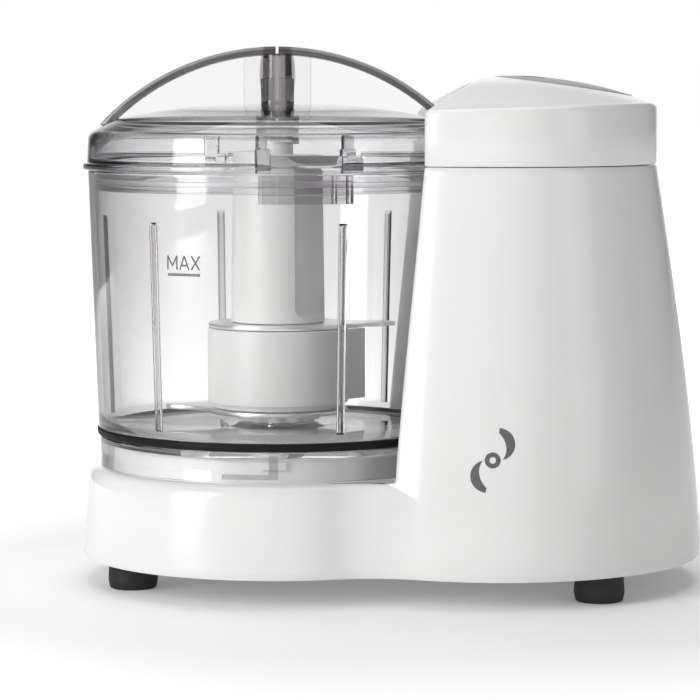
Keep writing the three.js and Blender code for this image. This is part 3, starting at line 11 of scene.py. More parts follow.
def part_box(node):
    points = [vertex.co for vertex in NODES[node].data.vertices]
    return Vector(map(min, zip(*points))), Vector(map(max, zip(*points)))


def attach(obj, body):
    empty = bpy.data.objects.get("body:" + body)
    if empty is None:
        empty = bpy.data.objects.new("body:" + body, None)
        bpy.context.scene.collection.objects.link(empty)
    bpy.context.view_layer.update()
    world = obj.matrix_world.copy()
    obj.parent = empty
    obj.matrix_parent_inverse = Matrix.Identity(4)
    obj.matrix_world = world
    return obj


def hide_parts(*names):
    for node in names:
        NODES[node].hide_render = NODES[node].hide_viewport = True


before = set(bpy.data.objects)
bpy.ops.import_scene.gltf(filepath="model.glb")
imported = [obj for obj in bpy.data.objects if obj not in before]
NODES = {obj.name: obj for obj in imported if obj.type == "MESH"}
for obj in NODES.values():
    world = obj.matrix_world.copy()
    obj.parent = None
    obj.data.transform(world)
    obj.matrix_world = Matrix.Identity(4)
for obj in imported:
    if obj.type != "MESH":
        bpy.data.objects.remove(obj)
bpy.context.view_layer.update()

# ---------- Dimensions, in millimetres as in the CAD part ----------

MM = 0.001
BOWL_X = -42.0
TOWER_X = 38.0
BASE_BOTTOM = 10.0
LOBE_RADIUS = 72.0
LOBE_TAPER = 0.07
WAIST_RADIUS = 46.0
DECK_TOP = 43.0
DECK_EDGE_HEIGHT = 6.0
DECK_EDGE_INSET = 4.5
TOWER_FOOT_RADIUS = 76.0
TOWER_TOP_RADIUS = 59.1
TOWER_CURVE = 0.8
SEAM = 153.2
CAP_BOTTOM = 153.5
RECESS_TOP_RADIUS = 72.7
RECESS_BOTTOM_RADIUS = 74.5
ROOF_CREST_X = 42.0
ROOF_CREST = 185.4
ROOF_RADIUS = 150.0
WALL = 2.4
BUTTON_X = 63.0
BUTTON_HALF_LENGTH = 26.0
BUTTON_HALF_WIDTH = 24.0
BUTTON_GAP = 0.7
INLAY_X = 51.0
INLAY_HALF_LENGTH = 6.4
INLAY_HALF_WIDTH = 9.9
PLATFORM_RADIUS = 60.5
PLATFORM_TOP = 51.0
LUG_FIRST_ANGLE = -94
LUG_SPAN = 8
SKIRT_RADIUS = 65.5
SKIRT_LOW = 43.3
BOWL_WALL = 2.2
FLOOR_TOP = 56.0
RING_LOW = 54.3
RING_HIGH = 57.3
GROOVE_RADIUS = 64.4
BOWL_RIM = 151.1
BOWL_FOOT_RADIUS = 66.3
BOWL_RIM_RADIUS = 69.6
RIB_TOP = 134.0
RIB_RADIUS = 1.5
RIB_FIRST_ANGLE = 21.0
LATCH_ANGLE = 9.2
LATCH_RADIUS = 73.6
LATCH_HALF_WIDTH = 16.7
ARCH_RADIUS = 88.4
ARCH_TOP = 196.1
ARCH_FOOT = 167.5
DRUM_RADIUS = 26.0
BLADE_REACH = 43.5
POINT = 0.01
TURN = 2 * math.pi


# ---------- Mesh building ----------


def linked(name, data):
    """A new object in the scene that holds the given data."""
    obj = bpy.data.objects.new(name, data)
    bpy.context.scene.collection.objects.link(obj)
    return obj


def from_bmesh(name, bm):
    mesh = bpy.data.meshes.new(name)
    bm.to_mesh(mesh)
    bm.free()
    return linked(name, mesh)


def new_object(name, verts_mm, faces, sharp_degrees=32.0):
    mesh = bpy.data.meshes.new(name)
    mesh.from_pydata((np.asarray(verts_mm, float) * MM).tolist(), [], faces)
    obj = linked(name, mesh)
    clean(obj, sharp_degrees)
    return obj


def clean(obj, sharp_degrees=32.0):
    """Merges coincident points, points the faces outwards and shades all but sharp edges smooth."""
    bm = bmesh.new()
    bm.from_mesh(obj.data)
    bmesh.ops.remove_doubles(bm, verts=bm.verts, dist=2e-6)
    bmesh.ops.dissolve_degenerate(bm, edges=bm.edges, dist=1e-7)
    bmesh.ops.recalc_face_normals(bm, faces=bm.faces)
    bm.to_mesh(obj.data)
    bm.free()
    obj.data.polygons.foreach_set("use_smooth", [True] * len(obj.data.polygons))
    obj.data.set_sharp_from_angle(angle=math.radians(sharp_degrees))
    obj.data.update()


def ring_faces(levels, count, closed=True):
    """Quads between stacked rings of the same number of points."""
    faces = []
    for level in range(levels - 1):
        for i in range(count if closed else count - 1):
            a = level * count + i
            b = level * count + (i + 1) % count
            faces.append((a, b, b + count, a + count))
    return faces


def stacked(name, rings, close_stack=True, sharp_degrees=32.0):
    """A surface through rings of points. With close_stack the last ring joins the first."""
    count = len(rings[0])
    rings = list(rings) + ([rings[0]] if close_stack else [])
    return new_object(name, np.concatenate(rings), ring_faces(len(rings), count), sharp_degrees)


def filleted(profile, steps=5):
    """A closed profile of (r, z) or (r, z, fillet) corners, with arcs at the corners that have one."""
    out = []
    count = len(profile)
    for i, corner in enumerate(profile):
        point = np.array(corner[:2], float)
        radius = corner[2] if len(corner) > 2 else 0
        if not radius:
            out.append(tuple(point))
            continue
        before = np.array(profile[i - 1][:2], float) - point
        after = np.array(profile[(i + 1) % count][:2], float) - point
        before /= np.linalg.norm(before)
        after /= np.linalg.norm(after)
        half = math.acos(np.clip(before @ after, -1, 1)) / 2
        reach = radius / math.tan(half)
        middle = (before + after) / np.linalg.norm(before + after)
        centre = point + middle * radius / math.sin(half)
        start = point + before * reach - centre
        end = point + after * reach - centre
        for k in range(steps + 1):
            share = k / steps
            mixed = start * (1 - share) + end * share
            mixed *= radius / np.linalg.norm(mixed)
            out.append(tuple(centre + mixed))
    return out


def ring_at(angles, radii, z, x=BOWL_X, y=0.0):
    """Points of a level ring, or of an arc of one, about the vertical through (x, y)."""
    return np.stack([x + radii * np.cos(angles), y + radii * np.sin(angles), np.full(len(angles), z)], 1)


def lathed(name, profile, x=BOWL_X, y=0.0, segments=160, angles=None, push=None, sharp_degrees=32.0):
    """A turned solid about the vertical through (x, y). push(angle, r, z) may change the radius."""
    if angles is None:
        angles = np.arange(segments) / segments * TURN
    rings = []
    for r, z in profile:
        radii = np.full(len(angles), float(r)) if push is None else push(angles, r, z)
        rings.append(ring_at(angles, radii, z, x, y))
    return stacked(name, rings, sharp_degrees=sharp_degrees)


def arc_solid(name, profile, angles):
    """A solid of a closed (r, z) profile carried along an arc about the bowl's axis, with flat ends."""
    levels, count = len(profile), len(angles)
    rings = [ring_at(angles, r, z) for r, z in profile]
    faces = ring_faces(levels + 1, count, closed=False)
    faces.append(tuple(level * count for level in range(levels)))
    faces.append(tuple(level * count + count - 1 for level in range(levels - 1, -1, -1)))
    return new_object(name, np.concatenate(rings + [rings[0]]), faces)


def box_object(name, low, high, bevel=0.3):
    """A block with softened edges."""
    bm = bmesh.new()
    bmesh.ops.create_cube(bm, size=1)
    size = [(b - a) * MM for a, b in zip(low, high)]
    centre = [(a + b) / 2 * MM for a, b in zip(low, high)]
    placed = Matrix.Translation(centre) @ Matrix.Diagonal((*size, 1))
    bmesh.ops.transform(bm, matrix=placed, verts=bm.verts)
    if bevel:
        bmesh.ops.bevel(bm, geom=bm.edges[:], offset=bevel * MM, segments=2, profile=0.5, affect="EDGES")
    return from_bmesh(name, bm)


def plate(name, outline, low, high, bevel=0.0, plane="XY", segments=2):
    """A flat plate from an outline of 2-D points, between two heights along the third axis."""
    bm = bmesh.new()
    verts = []
    for a, b in outline:
        place = (a, b, low) if plane == "XY" else (a, low, b)
        verts.append(bm.verts.new(Vector(place) * MM))
    grown = bmesh.ops.extrude_face_region(bm, geom=[bm.faces.new(verts)])["geom"]
    shift = Vector((0, 0, high - low) if plane == "XY" else (0, high - low, 0)) * MM
    bmesh.ops.translate(bm, vec=shift, verts=[v for v in grown if isinstance(v, bmesh.types.BMVert)])
    bmesh.ops.recalc_face_normals(bm, faces=bm.faces)
    if bevel:
        corner = math.radians(40)
        rims = [e for e in bm.edges if len(e.link_faces) == 2 and e.calc_face_angle(0) > corner]
        bmesh.ops.bevel(bm, geom=rims, offset=bevel * MM, segments=segments, profile=0.5, affect="EDGES")
    obj = from_bmesh(name, bm)
    clean(obj)
    return obj


def swing(obj, degrees, x=BOWL_X):
    """Turns the mesh about the vertical through (x, 0)."""
    shift = Matrix.Translation((x * MM, 0, 0))
    obj.data.transform(shift @ Matrix.Rotation(math.radians(degrees), 4, "Z") @ shift.inverted())
    return obj


def boolean(obj, tools, operation="UNION", sharp_degrees=32.0):
    """Joins, cuts or intersects with each tool in turn; the tools are used up."""
    for tool in tools:
        modifier = obj.modifiers.new("b", "BOOLEAN")
        modifier.operation = operation
        modifier.solver = "MANIFOLD"
        modifier.object = tool
        evaluated = obj.evaluated_get(bpy.context.evaluated_depsgraph_get())
        result = bpy.data.meshes.new_from_object(evaluated)
        obj.modifiers.clear()
        old = obj.data
        obj.data = result
        bpy.data.meshes.remove(old)
        bpy.data.objects.remove(tool)
    clean(obj, sharp_degrees)
    return obj


def finished(obj, material, body, nodes=(), slot=None):
    """Gives a piece its material and body, and hides the CAD nodes that it stands for."""
    obj.data.materials.clear()
    obj.data.materials.append(material)
    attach(obj, body)
    if nodes:
        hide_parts(*nodes)
    obj.visible_shadow = slot != "clear_plastic"  # lamps shine through the clear pieces
    return obj


# ---------- Materials ----------


def material_base(name):
    mat = bpy.data.materials.new(name)
    mat.use_nodes = True
    tree = mat.node_tree
    shader = tree.nodes["Principled BSDF"]
    place = tree.nodes.new("ShaderNodeTexCoord").outputs["Object"]
    return mat, tree, shader, place


def fill(tree, made, inputs):
    """Gives each of a node's inputs a value, or links it to a socket."""
    for key, value in dict(inputs).items():
        if isinstance(value, bpy.types.NodeSocket):
            tree.links.new(value, made.inputs[key])
        else:
            made.inputs[key].default_value = value


def node(tree, kind, inputs=(), **settings):
    made = tree.nodes.new("ShaderNode" + kind)
    for name, value in settings.items():
        setattr(made, name, value)
    fill(tree, made, inputs)
    return made


def maths(tree, operation, *values):
    return node(tree, "Math", enumerate(values), operation=operation).outputs["Value"]


def parts_of(tree, vector):
    return node(tree, "SeparateXYZ", {"Vector": vector}).outputs


def mixed(tree, factor, first, second, **settings):
    """A mix of two numbers, or of two colours where the settings say so."""
    return node(tree, "Mix", {"Factor": factor, "A": first, "B": second}, **settings).outputs["Result"]


def multiplied(tree, first, second):
    return mixed(tree, 1.0, first, second, data_type="RGBA", blend_type="MULTIPLY")


def noise(tree, place, scale, detail=2.0, rough=0.5, stretch=None):
    if stretch:
        place = node(tree, "Mapping", {"Vector": place, "Scale": stretch}).outputs["Vector"]
    inputs = {"Vector": place, "Scale": scale, "Detail": detail, "Roughness": rough}
    return node(tree, "TexNoise", inputs).outputs["Fac"]


def ramp(tree, value, stops):
    made = node(tree, "ValToRGB", {"Fac": value})
    elements = made.color_ramp.elements
    while len(elements) < len(stops):
        elements.new(0.5)
    for element, (position, color) in zip(elements, stops):
        element.position = position
        element.color = (*color, 1)
    return made.outputs["Color"]


def mapped(tree, value, low, high, start=0.0, end=1.0):
    """Takes the range from low to high to the range from start to end, and holds at both ends."""
    ends = {"Value": value, "From Min": low, "From Max": high, "To Min": start, "To Max": end}
    return node(tree, "MapRange", ends).outputs["Result"]


def bumped(tree, shader, height, strength, distance):
    bump = node(tree, "Bump", {"Strength": strength, "Distance": distance, "Height": height})
    tree.links.new(bump.outputs["Normal"], shader.inputs["Normal"])


PLASTIC_IOR = 1.49
COAT_ROUGHNESS = 0.06
FLOW_SCALE = 14
GLOSS_SCALE = 45
GRAIN_DEPTH = 0.0002
CLEAR_FLOW_SCALE = 20
CLEAR_GLOSS_SCALE = 60
CLEAR_WAVE_SCALE = 35
CLEAR_WAVE_DEPTH = 0.0003
UNTINTED = (1, 1, 1)


def plastic(name, dark, light, rough=(0.2, 0.28), coat=0.0, grain=900.0, bump=0.02, ior=PLASTIC_IOR):
    """Moulded plastic: faint flow variation in colour, uneven gloss and a fine surface texture."""
    mat, tree, shader, place = material_base(name)
    inputs = {
        "Base Color": ramp(tree, noise(tree, place, FLOW_SCALE, 3), [(0.3, dark), (0.7, light)]),
        "Roughness": mapped(tree, noise(tree, place, GLOSS_SCALE, 4), 0, 1, *rough),
        "IOR": ior,
        "Coat Weight": coat,
        "Coat Roughness": COAT_ROUGHNESS,
    }
    fill(tree, shader, inputs)
    bumped(tree, shader, noise(tree, place, grain, 2), bump, GRAIN_DEPTH)
    return mat


def distance_from(tree, place, centre, keep):
    """Distance of a place from a centre, in millimetres, along the axes that are kept."""
    offset = node(tree, "VectorMath", {0: place, 1: [c * MM for c in centre]}, operation="SUBTRACT")
    kept = {0: offset.outputs["Vector"], 1: [k / MM for k in keep]}
    scaled = node(tree, "VectorMath", kept, operation="MULTIPLY")
    return node(tree, "VectorMath", {0: scaled.outputs["Vector"]}, operation="LENGTH").outputs["Value"]


def arch_rim_painted_shade(tree, place):
    """Painted shade: a dark line along the underside of the arch's rim in place of its dark refraction, with
    a clear top edge.
    """
    radius = distance_from(tree, place, (BOWL_X, 0, ARCH_TOP - ARCH_RADIUS), (1, 0, 1))
    dark = (0.15, 0.145, 0.15)
    stops = [(0.22, UNTINTED), (0.28, dark), (0.6, dark), (0.74, UNTINTED)]
    return ramp(tree, mapped(tree, radius, 84, 89), stops)


def arch_column_painted_shade(tree, place):
    """Painted shade in the thick round column of the arch, in place of its dark refraction."""
    radius = distance_from(tree, place, (BOWL_X, 0, 186), (1, 0.4, 0.4))
    return ramp(tree, mapped(tree, radius, 5, 9), [(0.3, (0.42, 0.41, 0.4)), (0.45, UNTINTED)])


def latch_painted_shade(tree, place):
    """Painted shade on the latch pieces, which stand outside the walls, in place of their dark refraction.
    """
    radius = distance_from(tree, place, (BOWL_X, 0, 0), (1, 1, 0))
    return ramp(tree, mapped(tree, radius, 70, 74), [(0.42, UNTINTED), (0.5, (0.72, 0.71, 0.72))])


def rib_painted_shade(tree, place):
    """Painted shade on the ribs and rails that stand inside the wall, in place of their dark refraction."""
    radius = distance_from(tree, place, (BOWL_X, 0, 0), (1, 1, 0))
    lean = -(BOWL_RIM_RADIUS - BOWL_FOOT_RADIUS) / (BOWL_RIM - FLOOR_TOP) / MM
    upright = maths(tree, "MULTIPLY_ADD", parts_of(tree, place)["Z"], lean, radius)
    dark = (0.5, 0.49, 0.5)
    stops = [(0.3, UNTINTED), (0.38, dark), (0.61, dark), (0.67, UNTINTED)]
    return ramp(tree, mapped(tree, upright, 58, 63), stops)


def clear_plastic(name, tint, edge, absorbed, density, rough=(0.0, 0.03), ior=PLASTIC_IOR, shade_masks=()):
    """Clear moulded plastic: a smoky body colour that deepens where it is thick, painted shade that darkens
    the outline of its upright walls in place of their dark refraction, where it also turns dull, and slight
    haze variation."""
    mat, tree, shader, place = material_base(name)
    lighter = tuple(min(1.0, c + 0.015) for c in tint)
    halfway_edge_shade = tuple((1 + 2 * c) / 3 for c in edge)
    rim = tuple(0.12 * c for c in edge)
    facing = node(tree, "LayerWeight", {"Blend": 0.5}).outputs["Facing"]
    normal = node(tree, "NewGeometry").outputs["Normal"]
    level = maths(tree, "ABSOLUTE", parts_of(tree, normal)["Z"])
    # Painted shade: towards the outline of upright walls the colour darkens through the edge colour to near
    # black.
    outline = ramp(tree, facing, [(0.2, UNTINTED), (0.62, halfway_edge_shade), (0.77, edge), (0.86, rim)])
    colour = multiplied(
        tree,
        ramp(tree, noise(tree, place, CLEAR_FLOW_SCALE, 2), [(0.3, tint), (0.7, lighter)]),
        mixed(tree, level, outline, (1, 1, 1, 1), data_type="RGBA"),
    )
    # Painted shade from each mask darkens the colour further.
    for shade_mask in shade_masks:
        colour = multiplied(tree, colour, shade_mask(tree, place))
    inputs = {
        "Base Color": colour,
        "Specular IOR Level": mixed(tree, level, mapped(tree, facing, 0.7, 0.84, 0.5, 0.05), 0.5),
        "Roughness": mapped(tree, noise(tree, place, CLEAR_GLOSS_SCALE, 3), 0, 1, *rough),
        "Transmission Weight": 1.0,
        "IOR": ior,
    }
    fill(tree, shader, inputs)
    bumped(tree, shader, noise(tree, place, CLEAR_WAVE_SCALE, 2), 0.004, CLEAR_WAVE_DEPTH)
    smoke = node(tree, "VolumeAbsorption", {"Color": (*absorbed, 1), "Density": density})
    tree.links.new(smoke.outputs["Volume"], tree.nodes["Material Output"].inputs["Volume"])
    return mat


def metal(name, dark, light, rough=(0.22, 0.38), stretch=(1, 1, 30), scale=260.0, bump=0.06):
    """Metal with fine grinding or rolling lines along one direction."""
    mat, tree, shader, place = material_base(name)
    lines = noise(tree, place, scale, 4, 0.6, stretch)
    inputs = {
        "Base Color": ramp(tree, lines, [(0.25, dark), (0.75, light)]),
        "Roughness": mapped(tree, lines, 0, 1, *rough),
        "Metallic": 1.0,
    }
    fill(tree, shader, inputs)
    bumped(tree, shader, lines, bump, GRAIN_DEPTH / 2)
    return mat


def banded(name, dark, light, pitch, rough, metallic, axis="Z"):
    """Stacked layers or wound wire: fine parallel bands across one axis, a pitch in metres apart."""
    mat, tree, shader, place = material_base(name)
    wave = {"Vector": place, "Scale": 0.314 / pitch, "Distortion": 0.6, "Detail": 1.0}
    bands = node(tree, "TexWave", wave, bands_direction=axis).outputs["Fac"]
    inputs = {
        "Base Color": ramp(tree, bands, [(0.2, dark), (0.8, light)]),
        "Roughness": mapped(tree, bands, 0, 1, *rough),
        "Metallic": metallic,
    }
    fill(tree, shader, inputs)
    bumped(tree, shader, bands, 0.4, GRAIN_DEPTH)
    return mat


WHITE = plastic(
    "white_gloss_plastic", (0.83, 0.835, 0.83), (0.86, 0.86, 0.85), (0.16, 0.22), 0.35, 700, 0.012
)
WHITE_INSIDE = plastic(
    "white_satin_plastic", (0.78, 0.785, 0.78), (0.82, 0.82, 0.81), (0.34, 0.44), 0, 900, 0.04
)
GREY = plastic(
    "light_grey_plastic", (0.33, 0.335, 0.34), (0.38, 0.385, 0.39), (0.34, 0.42), 0, 800, 0.02, 1.3
)
DARK = plastic("dark_grey_plastic", (0.045, 0.046, 0.05), (0.07, 0.07, 0.075), (0.35, 0.5), 0, 1100, 0.05)
OFF_WHITE = plastic("off_white_plastic", (0.64, 0.64, 0.63), (0.7, 0.7, 0.69), (0.3, 0.42), 0, 800, 0.03)
NYLON = plastic("natural_nylon", (0.62, 0.59, 0.50), (0.72, 0.69, 0.60), (0.38, 0.5), 0, 500, 0.05)
RUBBER = plastic("black_rubber", (0.012, 0.012, 0.013), (0.028, 0.028, 0.03), (0.55, 0.75), 0, 1500, 0.12)
RING_BLACK = plastic(
    "ring_black_rubber", (0.006, 0.006, 0.006), (0.01, 0.01, 0.01), (0.45, 0.55), 0, 900, 0.04, 1.25
)
# Body colour, painted edge shade colour and absorbed colour of the clear pieces.
BOWL_TINT_AND_EDGE_SHADE = (0.965, 0.963, 0.966), (0.45, 0.44, 0.45), (0.45, 0.448, 0.456)
LID_TINT_AND_EDGE_SHADE = (0.965, 0.965, 0.967), (0.42, 0.41, 0.42), (0.42, 0.418, 0.43)
# Painted shade on the arch rim, the arch column and the latch.
LID_PAINTED_SHADES = (arch_rim_painted_shade, arch_column_painted_shade, latch_painted_shade)
CLEAR = clear_plastic("clear_bowl_plastic", *BOWL_TINT_AND_EDGE_SHADE, 85, shade_masks=(latch_painted_shade, rib_painted_shade))
CLEAR_LID = clear_plastic("clear_lid_plastic", *LID_TINT_AND_EDGE_SHADE, 90, shade_masks=LID_PAINTED_SHADES)
SILICONE = clear_plastic("seal_silicone", (0.97,) * 3, (0.8,) * 3, (0.5,) * 3, 12, (0.25, 0.4), 1.41)
BLADE_STEEL = metal(
    "blade_steel", (0.78, 0.78, 0.78), (0.9, 0.9, 0.9), (0.26, 0.38), (2, 40, 40), 160, 0.04
)
PLATED = metal("plated_steel", (0.45, 0.46, 0.48), (0.66, 0.67, 0.69), (0.25, 0.4))
LAMINATION = banded("steel_laminations", (0.10, 0.10, 0.11), (0.3, 0.31, 0.33), 0.0006, (0.4, 0.6), 0.85)
WINDING = banded("enamelled_copper_wire", (0.25, 0.08, 0.03), (0.7, 0.3, 0.14), 0.0005, (0.25, 0.4), 0.8)
COPPER_BAR = metal("copper_bars", (0.55, 0.25, 0.13), (0.8, 0.45, 0.28), (0.2, 0.35), (1, 1, 40))
BRONZE = metal("sintered_bronze", (0.35, 0.23, 0.1), (0.6, 0.43, 0.22), (0.4, 0.6), (1, 1, 1), 1400, 0.2)
CARBON = plastic("pressed_carbon", (0.015, 0.015, 0.017), (0.04, 0.04, 0.043), (0.5, 0.7), 0, 1800, 0.15)
BELT = banded(
    "ribbed_belt_rubber", (0.008, 0.008, 0.008), (0.03, 0.03, 0.032), 0.0015, (0.55, 0.75), 0.0, "X"
)
PRINT_GREY = plastic(
    "printed_grey_ink", (0.105, 0.105, 0.11), (0.135, 0.135, 0.14), (0.4, 0.5), 0, 900, 0.02
)


# ---------- Base housing ----------


def tower_radius(z):
    rise = min(max((z - BASE_BOTTOM) / (SEAM - BASE_BOTTOM), 0), 1)
    flare = math.cos(math.pi / 2 * rise**TOWER_CURVE)
    return TOWER_TOP_RADIUS + (TOWER_FOOT_RADIUS - TOWER_TOP_RADIUS) * flare


def recess_radius(z):
    growth = RECESS_TOP_RADIUS - RECESS_BOTTOM_RADIUS
    return RECESS_BOTTOM_RADIUS + growth * (z - DECK_TOP) / (SEAM - DECK_TOP)


def arc_points(centre, radius, start, end, count):
    angles = np.linspace(start, end, count)
    return np.stack([centre[0] + radius * np.cos(angles), centre[1] + radius * np.sin(angles)], 1)


TOWER_POINTS = 84
CORNER_POINTS = 26
INNER_POINTS = 80
WALL_RINGS = 12
EDGE_STEPS = 10
DECK_RINGS = 14
TOWER_RINGS = 40
HORN_RADIUS = 2.4


def raised(loop, height):
    """A loop of 2-D points at one height, or at a height for each point."""
    return np.column_stack([loop, np.broadcast_to(height, len(loop))])


def whole_ring(half, z):
    """A closed ring from its rear half, which runs from the tower end to the bowl end."""
    front = half[-2:0:-1] * np.array([1, -1])
    return raised(np.concatenate([half, front]), z)


def base_half(z, tower, lobe, waist):
    """Rear half of the peanut outline: tower arc, waist arc and bowl-end arc."""
    span = TOWER_X - BOWL_X
    full_tower = tower_radius(min(z, DECK_TOP))
    full_lobe = LOBE_RADIUS - LOBE_TAPER * (z - BASE_BOTTOM)
    reach_lobe = full_lobe + WAIST_RADIUS
    reach_tower = full_tower + WAIST_RADIUS
    along = (span**2 + reach_lobe**2 - reach_tower**2) / (2 * span)
    waist_centre = np.array([BOWL_X + along, math.sqrt(reach_lobe**2 - along**2)])
    to_waist = waist_centre - np.array([TOWER_X, 0])
    distance = np.linalg.norm(to_waist)
    middle = math.atan2(to_waist[1], to_waist[0])
    lean = math.acos(np.clip((tower**2 + distance**2 - waist**2) / (2 * tower * distance), -1, 1))
    tower_end = middle + lean
    meeting = np.array([TOWER_X, 0]) + tower * np.array([math.cos(tower_end), math.sin(tower_end)])
    waist_start = math.atan2(*(meeting - waist_centre)[::-1])
    lobe_end = math.atan2(waist_centre[1], waist_centre[0] - BOWL_X)
    waist_stop = lobe_end + math.pi - TURN
    return np.concatenate(
        [
            arc_points((TOWER_X, 0), tower, 0, tower_end, TOWER_POINTS),
            arc_points(waist_centre, waist, waist_start, waist_stop, CORNER_POINTS + 2)[1:-1],
            arc_points((BOWL_X, 0), lobe, lobe_end, math.pi, INNER_POINTS),
        ]
    )


def crescent_half(tower, hollow, horn=HORN_RADIUS):
    """Rear half of the tower's cross-section above the deck, with a rounded horn."""
    span = TOWER_X - BOWL_X
    inner_tower = tower - horn
    outer_hollow = hollow + horn
    along = (span**2 + outer_hollow**2 - inner_tower**2) / (2 * span)
    centre = np.array([BOWL_X + along, math.sqrt(outer_hollow**2 - along**2)])
    tower_end = math.atan2(centre[1], centre[0] - TOWER_X)
    hollow_start = math.atan2(centre[1], centre[0] - BOWL_X)
    horn_end = hollow_start + math.pi
    return np.concatenate(
        [
            arc_points((TOWER_X, 0), tower, 0, tower_end, TOWER_POINTS),
            arc_points(centre, horn, tower_end, horn_end, CORNER_POINTS + 2)[1:-1],
            arc_points((BOWL_X, 0), hollow, hollow_start, 0, INNER_POINTS),
        ]
    )


def base_rings(inset, low):
    """Rings of the housing's outside, or of its inside when drawn in by an inset."""
    rings = []
    edge_low = DECK_TOP - DECK_EDGE_HEIGHT
    levels = [(z, inset) for z in np.linspace(low, edge_low, WALL_RINGS)]
    for step in range(1, EDGE_STEPS + 1):
        angle = math.pi / 2 * step / EDGE_STEPS
        z = edge_low + (DECK_EDGE_HEIGHT - inset) * math.sin(angle)
        levels.append((z, DECK_EDGE_INSET * (1 - math.cos(angle)) + inset))
    for z, drawn in levels:
        lobe = LOBE_RADIUS - LOBE_TAPER * (z - BASE_BOTTOM) - drawn
        rings.append(whole_ring(base_half(z, tower_radius(z) - inset, lobe, WAIST_RADIUS + drawn), z))
    deck = DECK_TOP - inset
    last = rings[-1][: TOWER_POINTS + CORNER_POINTS + INNER_POINTS, :2]
    first = crescent_half(tower_radius(DECK_TOP) - inset, recess_radius(DECK_TOP) + inset - 1.2)
    for share in np.linspace(0, 1, DECK_RINGS)[1:]:
        rings.append(whole_ring(last * (1 - share) + first * share, deck))
    for rise, back in ((0.35, 0.35), (1.2, 0.0)):
        half = crescent_half(tower_radius(deck + rise) - inset, recess_radius(deck + rise) + inset - back)
        rings.append(whole_ring(half, deck + rise))
    for z in np.linspace(deck + 4, SEAM - 0.5, TOWER_RINGS):
        rings.append(whole_ring(crescent_half(tower_radius(z) - inset, recess_radius(z) + inset), z))
    return rings


def make_housing():
    outside = base_rings(0.0, BASE_BOTTOM + 0.8)
    chamfer = 0.5
    ends = TOWER_FOOT_RADIUS - chamfer, LOBE_RADIUS - chamfer
    foot = base_half(BASE_BOTTOM, *ends, WAIST_RADIUS + chamfer)
    lip = crescent_half(TOWER_TOP_RADIUS - 0.45, RECESS_TOP_RADIUS + 0.45, 2.0)
    inside = base_rings(WALL, BASE_BOTTOM + 0.1)
    rings = [whole_ring(foot, BASE_BOTTOM), *outside, whole_ring(lip, SEAM), *inside[::-1]]
    return stacked("base_shell", rings, sharp_degrees=40)


finished(make_housing(), WHITE, "base", ["base_housing"], "white_plastic")


def make_platform():
    """Raised round platform and centre boss that the bowl's skirt fits over."""
    foot, dish, bore = 42.5, 43.6, 7.8
    profile = filleted(
        [
            (PLATFORM_RADIUS, foot),
            (PLATFORM_RADIUS, PLATFORM_TOP, 1.2),
            (PLATFORM_RADIUS - 2.6, PLATFORM_TOP, 0.6),
            (PLATFORM_RADIUS - 3.6, dish, 0.6),
            (22, dish, 0.8),
            (14, PLATFORM_TOP, 0.8),
            (bore, PLATFORM_TOP, 0.4),
            (bore, foot),
        ]
    )
    return lathed("base_platform", profile, segments=144)


finished(make_platform(), WHITE_INSIDE, "base", slot="white_plastic")


def make_lug(index):
    """One of the three catches on the platform that the bowl's rails turn under."""
    start = math.radians(LUG_FIRST_ANGLE + index * 120)
    profile = ((59.4, 47.6), (61.6, 47.6), (61.8, 47.9), (61.8, 50.2), (61.5, 50.5), (59.4, 50.5))
    angles = np.linspace(start, start + math.radians(LUG_SPAN), 9)
    return arc_solid("platform_lug_%d" % (index + 1), profile, angles)


for number in range(3):
    finished(make_lug(number), WHITE_INSIDE, "base", slot="white_plastic")


# ---------- Cap and button ----------


def roof(x, y):
    return ROOF_CREST - ROOF_RADIUS + np.sqrt(ROOF_RADIUS**2 - (x - ROOF_CREST_X) ** 2 - y**2)


def oval_matching(loop, half_length, half_width):
    """For each point of a loop, the point of the button's oval in the same direction."""
    angle = np.arctan2(loop[:, 1] / half_width, (loop[:, 0] - BUTTON_X) / half_length)
    return np.stack([BUTTON_X + half_length * np.cos(angle), half_width * np.sin(angle)], 1)


def cap_loop(inset, horn=HORN_RADIUS):
    return whole_ring(crescent_half(TOWER_TOP_RADIUS - inset, RECESS_TOP_RADIUS + inset, horn), 0)[:, :2]


def on_roof(loop, lift=0.0):
    return raised(loop, roof(loop[:, 0], loop[:, 1]) + lift)


